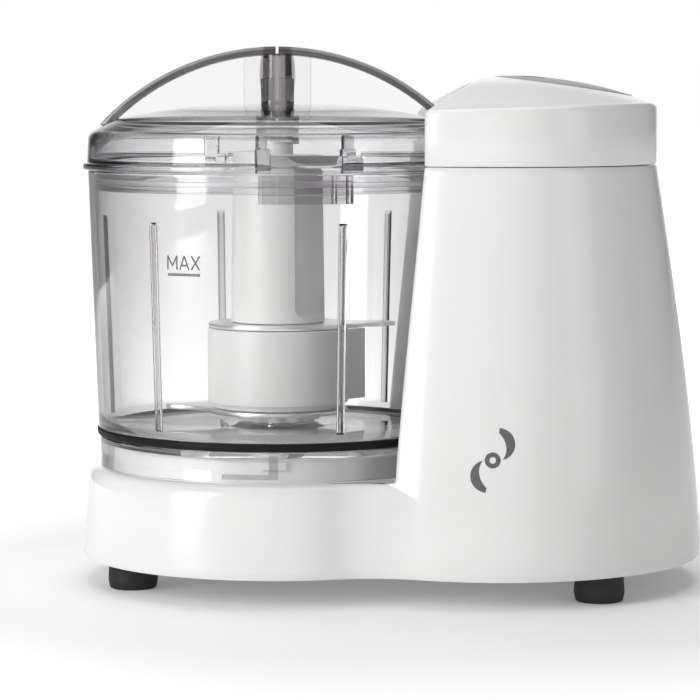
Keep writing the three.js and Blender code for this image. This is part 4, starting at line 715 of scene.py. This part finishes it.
def make_cap():
    """The domed cap: its side, rounded edge, roof, well for the button, and underside."""
    fillet, chamfer, steps, roof_rings = 2.6, 0.4, 8, 22
    well_low = 166.6
    edge = cap_loop(fillet, 1.2)
    ridge = roof(edge[:, 0], edge[:, 1]) - fillet
    side = CAP_BOTTOM + chamfer
    rings = [raised(cap_loop(chamfer), CAP_BOTTOM), raised(cap_loop(0), side)]
    for share in (0.5, 1.0):
        rings.append(raised(cap_loop(0), side + (ridge - CAP_BOTTOM - chamfer) * share))
    for step in range(1, steps):
        angle = math.pi / 2 * step / steps
        drawn = fillet * (1 - math.cos(angle))
        loop = cap_loop(drawn, HORN_RADIUS - 1.2 * drawn / fillet)
        rings.append(raised(loop, ridge + fillet * math.sin(angle)))
    rings.append(on_roof(edge))
    grown = [
        oval_matching(edge, BUTTON_HALF_LENGTH + extra, BUTTON_HALF_WIDTH + extra)
        for extra in (BUTTON_GAP, BUTTON_GAP + 0.5, 2.6)
    ]
    hole, lip, wider = grown
    for share in np.linspace(0, 1, roof_rings)[1:]:
        rings.append(on_roof(edge * (1 - share) + lip * share))
    rings += [on_roof(hole, -0.45), raised(hole, well_low), raised(wider, well_low), on_roof(wider, -2.4)]
    rings += [on_roof(cap_loop(fillet + 1.0, 0.8), -2.6), raised(cap_loop(WALL, 1.2), CAP_BOTTOM)]
    return stacked("cap_shell", rings, sharp_degrees=50)


finished(make_cap(), WHITE, "base", ["tower_cap"], "white_plastic")


def oval_ring(centre, half_length, half_width, z=None, lift=0.0, count=120):
    angle = np.arange(count) / count * TURN
    x = centre + half_length * np.cos(angle)
    y = half_width * np.sin(angle)
    height = roof(x, y) + lift if z is None else np.full(count, z)
    return np.stack([x, y, height], 1)


def pad_ring(drawn, z=None, lift=0.0):
    return oval_ring(BUTTON_X, BUTTON_HALF_LENGTH - drawn, BUTTON_HALF_WIDTH - drawn, z, lift)


def make_button():
    """The whole rounded push pad, hollow below, with a shallow seat for its inlay."""
    flange, edge, skin, low = -1.7, 1.6, 2.4, 165.2
    edge_steps, top_rings = 6, 16
    rings = [pad_ring(flange, low), pad_ring(flange, 166.4), pad_ring(0, 166.5)]
    for step in range(edge_steps + 1):
        angle = math.pi / 2 * step / edge_steps
        rings.append(pad_ring(edge * (1 - math.cos(angle)), lift=-1.5 + edge * math.sin(angle)))
    for share in np.linspace(0, 1, top_rings)[1:]:
        rings.append(
            oval_ring(
                BUTTON_X + (INLAY_X - BUTTON_X) * share,
                (BUTTON_HALF_LENGTH - edge) * (1 - share) + (INLAY_HALF_LENGTH + 0.1) * share,
                (BUTTON_HALF_WIDTH - edge) * (1 - share) + (INLAY_HALF_WIDTH + 0.1) * share,
                lift=0.1,
            )
        )
    rings.append(oval_ring(INLAY_X, INLAY_HALF_LENGTH, INLAY_HALF_WIDTH, lift=-0.5))
    rings.append(oval_ring(INLAY_X, POINT, POINT, lift=-0.6))
    rings.append(oval_ring(BUTTON_X, POINT, POINT, lift=-3.0))
    rings += [pad_ring(skin, lift=-3.2), pad_ring(skin, low)]
    return stacked("button_pad", rings, sharp_degrees=45)


finished(make_button(), GREY, "button", ["pulse_button"], "grey_plastic")


def make_inlay():
    """The dark oval pad, gently domed."""
    wall, edge = 0.25, 0.5
    rings = [
        oval_ring(INLAY_X, INLAY_HALF_LENGTH - drawn, INLAY_HALF_WIDTH - drawn, lift=lift)
        for drawn, lift in ((wall, -0.45), (wall, -0.05), (edge, 0.12))
    ]
    length, width = INLAY_HALF_LENGTH - edge, INLAY_HALF_WIDTH - edge
    for share in np.linspace(0, 1, 8)[1:]:
        sizes = length * (1 - share) + POINT, width * (1 - share) + POINT
        rings.append(oval_ring(INLAY_X, *sizes, lift=0.12 + 0.1 * share))
    rings.append(oval_ring(INLAY_X, POINT, POINT, lift=-0.45))
    return stacked("button_inlay_pad", rings, sharp_degrees=45)


finished(make_inlay(), DARK, "button", ["button_inlay"], "dark_plastic")


# ---------- Bowl ----------


def bowl_radius(z):
    growth = BOWL_RIM_RADIUS - BOWL_FOOT_RADIUS
    return BOWL_FOOT_RADIUS + growth * (z - FLOOR_TOP) / (BOWL_RIM - FLOOR_TOP)


def front_angle(degrees):
    """Angle about the bowl axis of a place counted from the front towards the tower."""
    return math.radians(degrees - 90)


RIB_ANGLES = [front_angle(RIB_FIRST_ANGLE + 60 * i) for i in range(6)]


def rib_angles_grid():
    """Angles round the bowl, closer together where the ribs are."""
    near = np.array([0.4, 0.75, 1.0, 1.2, 1.34, 1.5, 1.9])
    fine = np.radians([*-near[::-1], 0, *near])
    coarse = np.radians(np.arange(0, 360, 2.0))
    for rib in RIB_ANGLES:
        away = np.abs((coarse - rib + math.pi) % TURN - math.pi)
        coarse = coarse[away > math.radians(2.6)]
    ribs = np.concatenate([(rib + fine) % TURN for rib in RIB_ANGLES])
    return np.sort(np.concatenate([coarse, ribs]))


def rib_push(angles, r, z):
    """Draws the inside of the wall in where the six upright ribs are."""
    radii = np.full(len(angles), float(r))
    inside = bowl_radius(z) - BOWL_WALL
    if not (FLOOR_TOP + 2 < z < RIB_TOP + 0.01 and inside - 0.05 < r < inside + 0.05):
        return radii
    above = (z - RIB_TOP + RIB_RADIUS) / RIB_RADIUS
    fade = 1.0 if z < RIB_TOP - RIB_RADIUS else math.sqrt(max(0.0, 1 - above**2))
    for rib in RIB_ANGLES:
        away = np.abs((angles - rib + math.pi) % TURN - math.pi) * r
        bump = np.sqrt(np.clip(RIB_RADIUS**2 - away**2, 0, None))
        radii -= np.minimum(bump, RIB_RADIUS) * fade
    return radii


def make_bowl():
    """The clear bowl: skirt, ring groove, wall with ribs, floor and centre boss."""
    rib_levels = [135, 134, 133.9, 133.6, 133.2, 132.8, 132.5]
    inner_levels = [149.5, 146, 142, 138, *rib_levels, 128, 118, 108, 98, 88, 78, 70, 64, 60.5]
    outer_levels = [62, 70, 80, 90, 100, 110, 120, 130, 140, 149.5]
    floor_low, boss_top, boss_rim = FLOOR_TOP - BOWL_WALL, FLOOR_TOP + 2.4, 83
    profile = filleted(
        [
            (SKIRT_RADIUS - BOWL_WALL, SKIRT_LOW, 0.4),
            (SKIRT_RADIUS, SKIRT_LOW, 0.4),
            (SKIRT_RADIUS + 0.2, RING_LOW - 0.3, 0.2),
            (GROOVE_RADIUS, RING_LOW - 0.3),
            (GROOVE_RADIUS, RING_HIGH + 0.3),
            (bowl_radius(RING_HIGH), RING_HIGH + 0.3, 0.2),
        ],
        3,
    )
    profile += [(bowl_radius(z), z) for z in outer_levels]
    rim_inside = BOWL_RIM_RADIUS - BOWL_WALL
    rim = [(BOWL_RIM_RADIUS, 150.2), (BOWL_RIM_RADIUS, BOWL_RIM, 0.5), (rim_inside, BOWL_RIM, 0.5)]
    profile += filleted([*rim, (rim_inside, 150.2)], 3)
    profile += [(bowl_radius(z) - BOWL_WALL, z) for z in inner_levels]
    profile += filleted(
        [
            (64.1, 60.0),
            (62.9, FLOOR_TOP, 3.0),
            (18, FLOOR_TOP, 0.6),
            (14.2, boss_top, 0.6),
            (8.2, boss_top, 0.5),
            (7.6, boss_rim, 0.4),
            (6.0, boss_rim, 0.3),
            (6.4, floor_low, 0.3),
            (60.0, floor_low, 0.3),
            (SKIRT_RADIUS - BOWL_WALL, 51.8),
        ],
        4,
    )
    bowl = lathed("bowl_shell", profile, angles=rib_angles_grid(), push=rib_push, sharp_degrees=28)
    return boolean(bowl, [*catch_panel(), *bayonet_rails()], sharp_degrees=28)


def curved_block(low_t, high_t, r_in, r_out, low, high, degrees, soften=0.25):
    """A tool block that follows the bowl's curve, t millimetres either side of a place on the wall."""
    count = max(3, int((high_t - low_t) / 1.2) + 2)
    angles = np.linspace(low_t / r_out, high_t / r_out, count) + front_angle(degrees)
    profile = filleted([(r_in, low), (r_out, low, soften), (r_out, high, soften), (r_in, high)], 2)
    return arc_solid("t", profile, angles)


def catch_panel():
    """Open-backed panel at the front that the lid's latch tab stands over."""
    wall, skin, half = BOWL_RIM_RADIUS - 1.0, 1.4, LATCH_HALF_WIDTH
    front = curved_block(-half, half, 72.2, LATCH_RADIUS, 141, 150.9, LATCH_ANGLE)
    spans = ((-half, skin - half), (half - skin, half), (-10.9, -9.7), (9.7, 10.9))
    ribs = [
        curved_block(start, end, wall, LATCH_RADIUS - 0.3, 141.2, 150.8, LATCH_ANGLE) for start, end in spans
    ]
    return [front, *ribs]


def bayonet_rails():
    """L-shaped rails inside the skirt that turn over the platform's lugs."""
    pieces = []
    for turn in (0, 120, 240):
        pieces.append(curved_block(-18.5, 1.5, 62.1, GROOVE_RADIUS, 44.5, 46.2, turn))
        pieces.append(curved_block(-1.8, 1.5, 62.1, GROOVE_RADIUS, 44.5, 53.9, turn))
    return pieces


finished(make_bowl(), CLEAR, "bowl", ["bowl"], "clear_plastic")


def band_profile(inner, outer, low, high, soft):
    """Profile of a ring that is rounded on its outside."""
    return filleted([(inner, low, 0.3), (outer, low, soft), (outer, high, soft), (inner, high, 0.3)], 4)


def make_ring():
    return lathed("bowl_foot_ring", band_profile(64.7, 66.7, RING_LOW, RING_HIGH, 0.9), segments=200)


finished(make_ring(), RING_BLACK, "bowl_carrier", ["bowl_ring"], "black_rubber")


# ---------- Lid ----------


def arch_points(radius, side):
    """Points along the arch where it stands above the lid, from one side of the bowl to the other."""
    centre = ARCH_TOP - ARCH_RADIUS
    reach = math.acos((ARCH_FOOT - centre) / radius)
    angles = np.linspace(side * reach, -side * reach, 72)
    return [(BOWL_X + radius * math.sin(a), centre + radius * math.cos(a)) for a in angles]


def arch_plate(outer, inner, half_width, bevel=0.3):
    """An upright curved plate across the lid, between two radii of the arch."""
    points = arch_points(outer, -1) + (arch_points(inner, 1) if inner else [])
    return plate("t", points, -half_width, half_width, bevel, "XZ")


def make_lid():
    """The clear lid: plug skirt, flange, wall, domed top, arch handle and the socket for the hub."""
    plug, seat, seat_low, seat_high = 66.6, 65.3, 146.1, 148.7
    flange, flange_low, flange_high = 71.5, 151.4, 153.9
    column_foot, column_top, lower_top = 169, ARCH_TOP - 1.4, 184.4
    slot_low, slot_high = 176.5, ARCH_TOP - 3.6
    dome = [(53, 170.9), (44, 172.5), (33, 173.9), (22, 174.7), (11, 175.1), (POINT, 175.2)]
    ceiling = [(POINT, 173.0), (20, 172.5), (40, 170.7), (52, 168.7), (60.5, 166.7, 1.0)]
    skirt = [(64.6, 144.1, 0.4), (plug, 144.1, 0.4), (plug, seat_low), (seat, seat_low), (seat, seat_high)]
    outside = [
        (plug, seat_high),
        (plug, flange_low),
        (flange, flange_low, 0.8),
        (flange, flange_high, 0.8),
        (70.0, flange_high, 0.4),
        (69.4, 164.6, 3.4),
        (61, 169.1, 1.2),
    ]
    inside = [(67.2, 163.6, 2.4), (67.8, 154.9, 1.0), (64.6, 152.9, 1.0)]
    profile = filleted([*skirt, *outside, *dome, *ceiling, *inside], 6)
    lid = lathed("lid_shell", profile, segments=200, sharp_degrees=28)
    web = arch_plate(ARCH_RADIUS - 1, None, 1.2, 0)
    rim = arch_plate(ARCH_RADIUS, ARCH_RADIUS - 3, 5.5, 0.7)
    panel = box_object("t", (BOWL_X - 12.3, -1.8, 168), (BOWL_X + 12.3, 1.8, ARCH_TOP - 2.2), 0.2)
    shafts = [
        [(POINT, column_foot), (6, column_foot), (5.4, column_top), (POINT, column_top)],
        [(POINT, column_foot), (6.3, column_foot), (6.3, lower_top, 0.3), (POINT, lower_top)],
        [(6.1, 161, 0.3), (8, 161, 0.3), (8, 174), (6.1, 174)],
    ]
    column, lower, socket = [lathed("t", filleted(shaft), segments=48) for shaft in shafts]
    boolean(lid, [web, rim, panel, column, lower, *latch_tab(), *lid_lugs()], sharp_degrees=28)
    boolean(lid, [socket], sharp_degrees=28)
    cuts = [
        ((-0.5, -7, ARCH_TOP - 2.6), (0.5, 7, ARCH_TOP + 2)),
        ((-0.7, -7, slot_low), (0.7, -2.6, slot_high)),
        ((-3.4, -7, slot_low), (-2.4, -4.2, 184)),
        ((-0.7, 2.6, slot_low), (0.7, 7, slot_high)),
    ]
    tools = [box_object("t", (BOWL_X + a, *low), (BOWL_X + b, *high), 0) for (a, *low), (b, *high) in cuts]
    return boolean(lid, tools, "DIFFERENCE", sharp_degrees=28)


def latch_tab():
    """Two uprights, a cross bar and a step block on the lid's wall, above the bowl's catch panel."""
    low, shoulder, top = 151.5, 158.0, 164.7
    blocks = [
        (-17.3, -12.4, 0, low, 160.0, 0.4),
        (-17.0, -13.8, -0.6, shoulder, top, 0.7),
        (12.3, 17.2, 0, low, 160.0, 0.4),
        (12.8, 16.6, -0.6, shoulder, top, 0.7),
        (-12.8, 12.8, -0.8, 153.4, 157.6, 0.4),
        (12.4, 19.8, 0.3, low, 157.0, 0.4),
    ]
    root = BOWL_X + 66
    parts = [
        box_object("t", (root, start, bottom), (BOWL_X + (LATCH_RADIUS + out), end, height), bevel)
        for start, end, out, bottom, height, bevel in blocks
    ]
    return [swing(part, LATCH_ANGLE - 90) for part in parts]


def lid_lugs():
    """Small lug and step on the lid's wall, and the rib that works the interlock plunger."""
    return [
        curved_block(-2.6, 2.6, 68.5, 70.9, 157.5, 164.2, -17.5, 0.5),
        curved_block(1.5, 5.0, 68.5, 70.9, 155.2, 158.6, -17.5, 0.5),
        curved_block(-7.5, 7.5, 68.5, 71.2, 154.3, 160.8, 90, 0.4),
    ]


finished(make_lid(), CLEAR_LID, "lid", ["lid"], "clear_plastic")


def make_seal():
    return lathed("lid_seal_ring", band_profile(65.5, 66.85, 146.4, 148.4, 0.6), segments=200)


finished(make_seal(), SILICONE, "lid_carrier", ["lid_seal"], "natural_nylon")


# ---------- Blade unit ----------


FLUTE_RADIUS = 12.0
FLUTE_DISTANCE = 22.6
FLUTE_TURNS = (54.0, 234.0)
STAR_POINTS = 144
BLADE_THICKNESS = 1.5
WING_START = 0.5
WING_END = 0.55


def flute_cutter(angle):
    """Upright cylinder that hollows one side of the column."""
    low, high, fillet = 97.8, 154.5, 3.0
    outline = [(POINT, low), (FLUTE_RADIUS, low, fillet), (FLUTE_RADIUS, high, fillet), (POINT, high)]
    x = BOWL_X + FLUTE_DISTANCE * math.cos(angle)
    y = FLUTE_DISTANCE * math.sin(angle)
    return lathed("t", filleted(outline, 6), x=x, y=y, segments=128)


def make_hub():
    """Drum, fluted column and peg, hollow where the spindle stands."""
    ledge, drum_top, column_foot, column_top, peg = 24.0, 93.2, 95.3, 157, 5.75
    outside = [
        (12.0, 63.0),
        (ledge, 64.0, 0.4),
        (ledge, 66.0),
        (DRUM_RADIUS, 66.0),
        (DRUM_RADIUS, drum_top, 0.6),
        (10, drum_top),
        (10, column_foot),
        (17.3, column_foot, 0.5),
        (16.5, column_top, 1.0),
        (peg, column_top, 0.6),
        (peg, 165, 1.0),
        (POINT, 165),
    ]
    inside = [(POINT, 92.5), (5.6, 92.5), (5.6, 84), (8.8, 84), (8.8, 59.2), (12.0, 59.2, 0.3)]
    drum = lathed("blade_drum", filleted(outside + inside, 5), segments=160)
    cutters = [flute_cutter(front_angle(degrees)) for degrees in FLUTE_TURNS]
    return boolean(drum, cutters, "DIFFERENCE")


finished(make_hub(), OFF_WHITE, "blade_unit", ["blade_hub"], "off_white_plastic")


def make_star():
    """Collar with twelve rounded points at the foot of the hub."""
    points = []
    for i in range(STAR_POINTS):
        angle = i / STAR_POINTS * TURN
        radius = 14.4 + 0.8 * math.cos(12 * angle)
        points.append((BOWL_X + radius * math.cos(angle), radius * math.sin(angle)))
    bore = lathed("t", [(POINT, 55), (12.1, 55), (12.1, 65), (POINT, 65)], segments=64)
    return boolean(plate("blade_star_collar", points, 59.1, 61.4, 0.25), [bore], "DIFFERENCE")


def make_fin():
    low = (BOWL_X + DRUM_RADIUS - 1, -0.8, 64.0)
    high = (BOWL_X + BLADE_REACH - 0.3, 0.8, 90.6)
    return swing(box_object("blade_upright_fin", low, high, 0.35), 42)


for piece in (make_star(), make_fin()):
    finished(piece, OFF_WHITE, "blade_unit", slot="off_white_plastic")


def curve(a, b, c, count=18):
    """A smooth bend from a to c that is pulled towards b."""
    t = np.linspace(0, 1, count)[:, None]
    return (1 - t) ** 2 * np.array(a) + 2 * t * (1 - t) * np.array(b) + t**2 * np.array(c)


def blade_outline(centre_radius):
    """Outline of a one-winged blade that points along +X, about the origin."""
    tip = 4.5
    tip_x = BLADE_REACH - tip
    first = (centre_radius * math.cos(WING_END), -centre_radius * math.sin(WING_END))
    last = (centre_radius * math.cos(WING_START), centre_radius * math.sin(WING_START))
    return np.concatenate(
        [
            curve(first, (tip_x - 8, -13), (tip_x, -tip)),
            arc_points((tip_x, 0), tip, -math.pi / 2, math.pi / 2, 16)[1:],
            curve((tip_x, tip), (tip_x - 10, 5.5), last)[1:],
            arc_points((0, 0), centre_radius, WING_START, TURN - WING_END, 90)[1:-1],
        ]
    ).tolist()


def serrated(outline, centre_radius, depth=0.7, pitch=2.4):
    """The outline with small teeth along the wing's cutting edge."""
    dense = []
    for (x0, y0), (x1, y1) in zip(outline, outline[1:] + outline[:1]):
        wing = y0 < -3 and x0 > centre_radius * 0.8 and x1 > x0
        steps = max(1, int(math.hypot(x1 - x0, y1 - y0) / 0.4)) if wing else 1
        for k in range(steps):
            x, y = x0 + (x1 - x0) * k / steps, y0 + (y1 - y0) * k / steps
            if wing:
                y += depth * abs(((x / pitch) % 1) * 2 - 1)
            dense.append((x, y))
    return dense


def make_blade(name, low, hole, degrees, teeth):
    """A flat steel blade with a ground cutting edge and a hole for the hub."""
    edge_place, edge_angle = -7, 9
    outline = blade_outline(DRUM_RADIUS - 0.4)
    if teeth:
        outline = serrated(outline, DRUM_RADIUS)
    blade = plate(name, [(BOWL_X + x, y) for x, y in outline], low, low + BLADE_THICKNESS, 0.18)
    punch = [(POINT, low - 3), (hole, low - 3), (hole, low + 4), (POINT, low + 4)]
    boolean(blade, [lathed("t", punch, segments=64)], "DIFFERENCE")
    grind = box_object("t", (BOWL_X + 20, -30, low - 2.0), (BOWL_X + 60, edge_place, low + 0.9), 0)
    shift = Matrix.Translation((0, edge_place * MM, low * MM))
    grind.data.transform(shift @ Matrix.Rotation(math.radians(edge_angle), 4, "X") @ shift.inverted())
    boolean(blade, [grind], "DIFFERENCE")
    return swing(blade, degrees)


upper = make_blade("blade_upper_wing", 93.5, 10.3, 5, False)
finished(upper, BLADE_STEEL, "blade_unit", ["upper_blade"], "blade_steel")
lower = make_blade("blade_lower_wing", 62.0, 12.3, 165, True)
finished(lower, BLADE_STEEL, "blade_unit", ["lower_blade"], "blade_steel")


# ---------- Feet, screws and cord gland ----------


def middle_of(name):
    """Middle of a CAD node's box, in millimetres."""
    low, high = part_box(name)
    return (low + high) / 2 / MM


def make_foot(name):
    """Round pad with a stem that stands in the bottom cover."""
    top, stem_top = 10.3, 14.3
    pad = [(POINT, 0.6), (6.0, 0.6, 0.4), (6.6, 0.0, 0.3), (8.4, 0.0, 0.9), (9.0, 3.2, 0.6), (8.6, top, 0.4)]
    profile = filleted([*pad, (3.0, top), (3.0, stem_top, 0.8), (POINT, stem_top)], 4)
    middle = middle_of(name)
    return lathed(name + "_pad", profile, middle.x, middle.y, 64)


def make_screw(name):
    """Countersunk screw with a cross slot in its head."""
    middle = middle_of(name)
    reach, half_slot, slot_low, slot_high = 2, 0.35, 8, 10.3
    head = [(POINT, 9.2), (2.6, 9.2, 0.5), (3.2, 10.0, 0.4), (3.2, 11.3)]
    shank = [(1.4, 11.3), (1.4, 27, 0.3), (POINT, 28)]
    screw = lathed(name + "_body", filleted(head + shank, 3), middle.x, middle.y, 40)
    arms = [
        box_object("t", (middle.x - a, middle.y - b, slot_low), (middle.x + a, middle.y + b, slot_high), 0)
        for a, b in ((reach, half_slot), (half_slot, reach))
    ]
    return boolean(screw, arms, "DIFFERENCE")


for name in ("foot_front_left", "foot_rear_left", "foot_front_right", "foot_rear_right"):
    finished(make_foot(name), RUBBER, "base", [name], "black_rubber")

for name in ("cover_screw_1", "cover_screw_2", "cover_screw_3", "cover_screw_4"):
    finished(make_screw(name), PLATED, "base", [name], "plain_steel")


def make_gland():
    """Cord bushing in the rear wall, with a flange and grooved sleeve."""
    bore, neck, height, angle = 3.6, 6.0, 24, math.radians(55)
    sleeve = [(bore, 69), (7.4, 69, 0.3), (7.4, 71.1, 0.3), (neck, 71.4), (neck, 76.2)]
    flange = [(8.0, 76.2, 0.4), (8.0, 78.1, 0.6), (6.2, 78.4, 0.2), (neck, 80.4, 0.5), (bore, 80.4, 0.4)]
    gland = lathed("cord_bushing", filleted(sleeve + flange, 3), 0, 0, 56)
    turn = Matrix.Rotation(angle, 4, "Z") @ Matrix.Rotation(math.radians(90), 4, "Y")
    gland.data.transform(Matrix.Translation((TOWER_X * MM, 0, height * MM)) @ turn)
    return gland


finished(make_gland(), RUBBER, "base", ["cord_gland"], "black_rubber")


# ---------- Printed marks ----------


def front_point(centre, radius, t, z):
    """A place t millimetres round an upright wall from its nearest point to -Y."""
    angle = -math.pi / 2 + t / radius
    return centre + radius * math.cos(angle), radius * math.sin(angle), z


def tower_point(t, z, lift):
    return front_point(TOWER_X, tower_radius(z) + lift, t, z)


def bowl_point(t, z, lift):
    return front_point(BOWL_X, bowl_radius(z) + lift, t, z)


INK_LIFT = 0.02
INK_THICKNESS = 0.05


def printed(name, strips, wrap):
    """Thin ink on a curved wall: each strip is a list of (left, right) point pairs along its length."""
    verts, faces = [], []
    for strip in strips:
        for lift in (INK_LIFT, INK_LIFT + INK_THICKNESS):
            for left, right in strip:
                verts += [wrap(*left, lift), wrap(*right, lift)]
        count = len(strip)
        start = len(verts) - 4 * count
        for i in range(count - 1):
            a = start + 2 * i
            b = a + 2 * count
            faces += [(a, a + 2, a + 3, a + 1), (b, b + 1, b + 3, b + 2)]
            faces += [(a, b, b + 2, a + 2), (a + 1, a + 3, b + 3, b + 1)]
        a, b = start, start + 2 * count
        faces.append((a, a + 1, b + 1, b))
        a, b = start + 2 * count - 2, start + 4 * count - 2
        faces.append((a, b, b + 1, a + 1))
    return new_object(name, verts, faces, 60)


def blade_emblem(centre_t, centre_z, size):
    """Generic pictogram of a two-winged chopping blade with a round hub."""

    def place(reach, angle):
        return centre_t + reach * math.cos(angle), centre_z + reach * math.sin(angle)

    strips = []
    for side in (0, math.pi):
        pairs = []
        for u in np.linspace(0, 1, 26):
            angle = side + 0.05 + 1.3 * u
            inner = size * (0.30 + 0.55 * u**1.2)
            outer = size * (0.30 + 0.70 * math.sin(min(1.0, u * 1.15) * math.pi / 2) ** 0.8)
            pairs.append((place(inner, angle), place(max(outer, inner + 0.02), angle)))
        strips.append(pairs)
    hub_in, hub_out = 0.10 * size, 0.24 * size
    strips.append([(place(hub_in, u), place(hub_out, u)) for u in np.linspace(0, TURN, 49)])
    return strips


emblem = printed("tower_emblem", blade_emblem(-4.0, 52.5, 11.5), tower_point)
finished(emblem, PRINT_GREY, "base", slot="dark_plastic")

STROKE_WIDTH = 0.62
LINE_WIDTH = 0.95


def stroke(points, width=STROKE_WIDTH):
    """A strip of even width along a path of (t, z) points."""
    pairs = []
    points = [np.array(p, float) for p in points]
    for i, point in enumerate(points):
        along = points[min(i + 1, len(points) - 1)] - points[max(i - 1, 0)]
        along /= np.linalg.norm(along)
        side = np.array([-along[1], along[0]]) * width / 2
        pairs.append((tuple(point + side), tuple(point - side)))
    return pairs


def fill_mark():
    """The word MAX over a line, as a fill level."""
    left, low, high = -39.1, 117.8, 122.7
    bar, line = (low + high) / 2 - 0.9, low - 1.75
    strokes = [
        ((0, low), (0, high)),
        ((0, high), (1.9, low + 1.3)),
        ((1.9, low + 1.3), (3.8, high)),
        ((3.8, high), (3.8, low)),
        ((5.0, low), (6.8, high)),
        ((6.8, high), (8.6, low)),
        ((5.7, bar), (7.9, bar)),
        ((9.6, low), (12.8, high)),
        ((9.6, high), (12.8, low)),
    ]
    word = [stroke([(left + t, z) for t, z in ends]) for ends in strokes]
    return [*word, stroke([(left, line), (left + 12.9, line)], LINE_WIDTH)]


mark = printed("fill_level_mark", fill_mark(), bowl_point)
finished(mark, PRINT_GREY, "bowl", slot="dark_plastic")


# ---------- CAD nodes that are kept ----------

BRACKETS_AND_BEARINGS = ("lower_end_bracket", "upper_end_bracket", "lower_bearing", "upper_bearing")
HOLDERS = ("motor_cradle", "switch_bracket", "brush_holder_front", "brush_holder_rear")
KEPT = {
    WHITE_INSIDE: ("bottom_cover",),
    PLATED: ("button_spring", "spindle", "motor_shaft", *BRACKETS_AND_BEARINGS),
    NYLON: ("interlock_plunger", "driven_pulley", "motor_pulley", *HOLDERS),
    DARK: ("pulse_switch", "interlock_switch", "drive_coupling", "cooling_fan"),
    BRONZE: ("spindle_bush",),
    RUBBER: ("spindle_seal",),
    BELT: ("drive_belt",),
    LAMINATION: ("stator_core", "armature_core"),
    WINDING: ("field_coil_front", "field_coil_rear", "armature_winding_lower", "armature_winding_upper"),
    COPPER_BAR: ("commutator",),
    CARBON: ("carbon_brush_front", "carbon_brush_rear"),
}

for material, names in KEPT.items():
    for name in names:
        NODES[name].data.materials.clear()
        NODES[name].data.materials.append(material)


# ---------- Floor, light and camera ----------


FLOOR_HALF = 12.0
GLOW_NEAR = 0.16
GLOW_FAR = 0.45
LANE_SPREAD = 0.25
LANE_FADE = 0.15
LANE_DIM = 0.2


def make_floor():
    """A wide pale floor that glows away from the object. To the sides of the lane in front and behind,
    it glows less for all but the camera, so that the clear plastic's edges stay dark."""
    corners = [(-1, -1), (1, -1), (1, 1), (-1, 1)]
    mesh = bpy.data.meshes.new("floor")
    mesh.from_pydata([(FLOOR_HALF * x, FLOOR_HALF * y, 0) for x, y in corners], [], [(0, 1, 2, 3)])
    mat, tree, shader, place = material_base("pale_floor")
    away = node(tree, "VectorMath", {0: place}, operation="LENGTH").outputs["Value"]
    aside = maths(tree, "ABSOLUTE", parts_of(tree, place)["X"])
    beyond = maths(tree, "MULTIPLY_ADD", away, -LANE_SPREAD, aside)
    lane = mapped(tree, beyond, 0.0, LANE_FADE, 1.0, LANE_DIM)
    plain = maths(tree, "MAXIMUM", lane, node(tree, "LightPath").outputs["Is Camera Ray"])
    pale = [(0.3, (0.9, 0.9, 0.9)), (0.7, (0.92, 0.92, 0.92))]
    inputs = {
        "Base Color": ramp(tree, noise(tree, place, 6, 2), pale),
        "Roughness": 0.6,
        "Specular IOR Level": 0.1,
        "Emission Color": (1, 1, 1, 1),
        "Emission Strength": maths(
            tree, "MULTIPLY", mapped(tree, away, GLOW_NEAR, GLOW_FAR, 0.1, 0.75), plain
        ),
    }
    fill(tree, shader, inputs)
    mesh.materials.append(mat)
    linked("floor", mesh)


def soft_light(name, place, target, size, power):
    light = bpy.data.lights.new(name, "AREA")
    light.shape = "RECTANGLE"
    light.size, light.size_y = size
    light.energy = power
    obj = linked(name, light)
    obj.location = place
    obj.rotation_mode = "QUATERNION"
    obj.rotation_quaternion = (Vector(target) - Vector(place)).to_track_quat("-Z", "Y")
    return obj


MIDDLE = (0, 0, 0.1)
TALL_PANEL = (0.5, 0.9)

make_floor()
soft_light("key_left", (-0.9, -0.68, 0.45), (-0.04, 0, 0.1), (0.42, 0.9), 7.6)
soft_light("fill_right", (1.1, -0.8, 0.5), MIDDLE, TALL_PANEL, 1.3)
back = soft_light("back_left", (-0.9, 0.75, 0.45), MIDDLE, TALL_PANEL, 3.5)
back.visible_glossy = False
back.visible_transmission = False
soft_light("top", (0.0, 0.15, 1.2), (0, 0, 0.0), (1.1, 1.0), 4.6)


def make_world():
    """A studio that is bright in front and brighter behind, and dark at the sides for the clear
    plastic's edges. The camera itself sees plain white."""
    world = bpy.data.worlds.new("studio")
    world.use_nodes = True
    tree = world.node_tree
    direction = parts_of(tree, node(tree, "TexCoord").outputs["Generated"])
    sideways = maths(tree, "ABSOLUTE", direction["X"])
    shade = ramp(tree, sideways, [(0.2, (0.66,) * 3), (0.42, (0.12,) * 3)])
    behind = ramp(tree, direction["Y"], [(0.9, (0.0,) * 3), (0.97, (0.45,) * 3)])
    total = mixed(tree, 1.0, shade, behind, data_type="RGBA", blend_type="ADD")
    seen = node(tree, "LightPath").outputs["Is Camera Ray"]
    shown = mixed(tree, seen, total, (1, 1, 1, 1), data_type="RGBA")
    tree.links.new(shown, tree.nodes["Background"].inputs["Color"])
    bpy.context.scene.world = world


make_world()
bpy.context.scene.view_settings.view_transform = "Standard"

CAMERA_PLACE = (-0.0154, -1.0923, 0.1804)
CAMERA_TILT = 0.0876

camera = bpy.data.cameras.new("camera")
camera.lens = 152.5
camera.sensor_width = 36.0
camera.clip_end = 20
view = linked("camera", camera)
view.location = CAMERA_PLACE
view.rotation_euler = (math.pi / 2 - CAMERA_TILT, 0, 0)
bpy.context.scene.camera = view
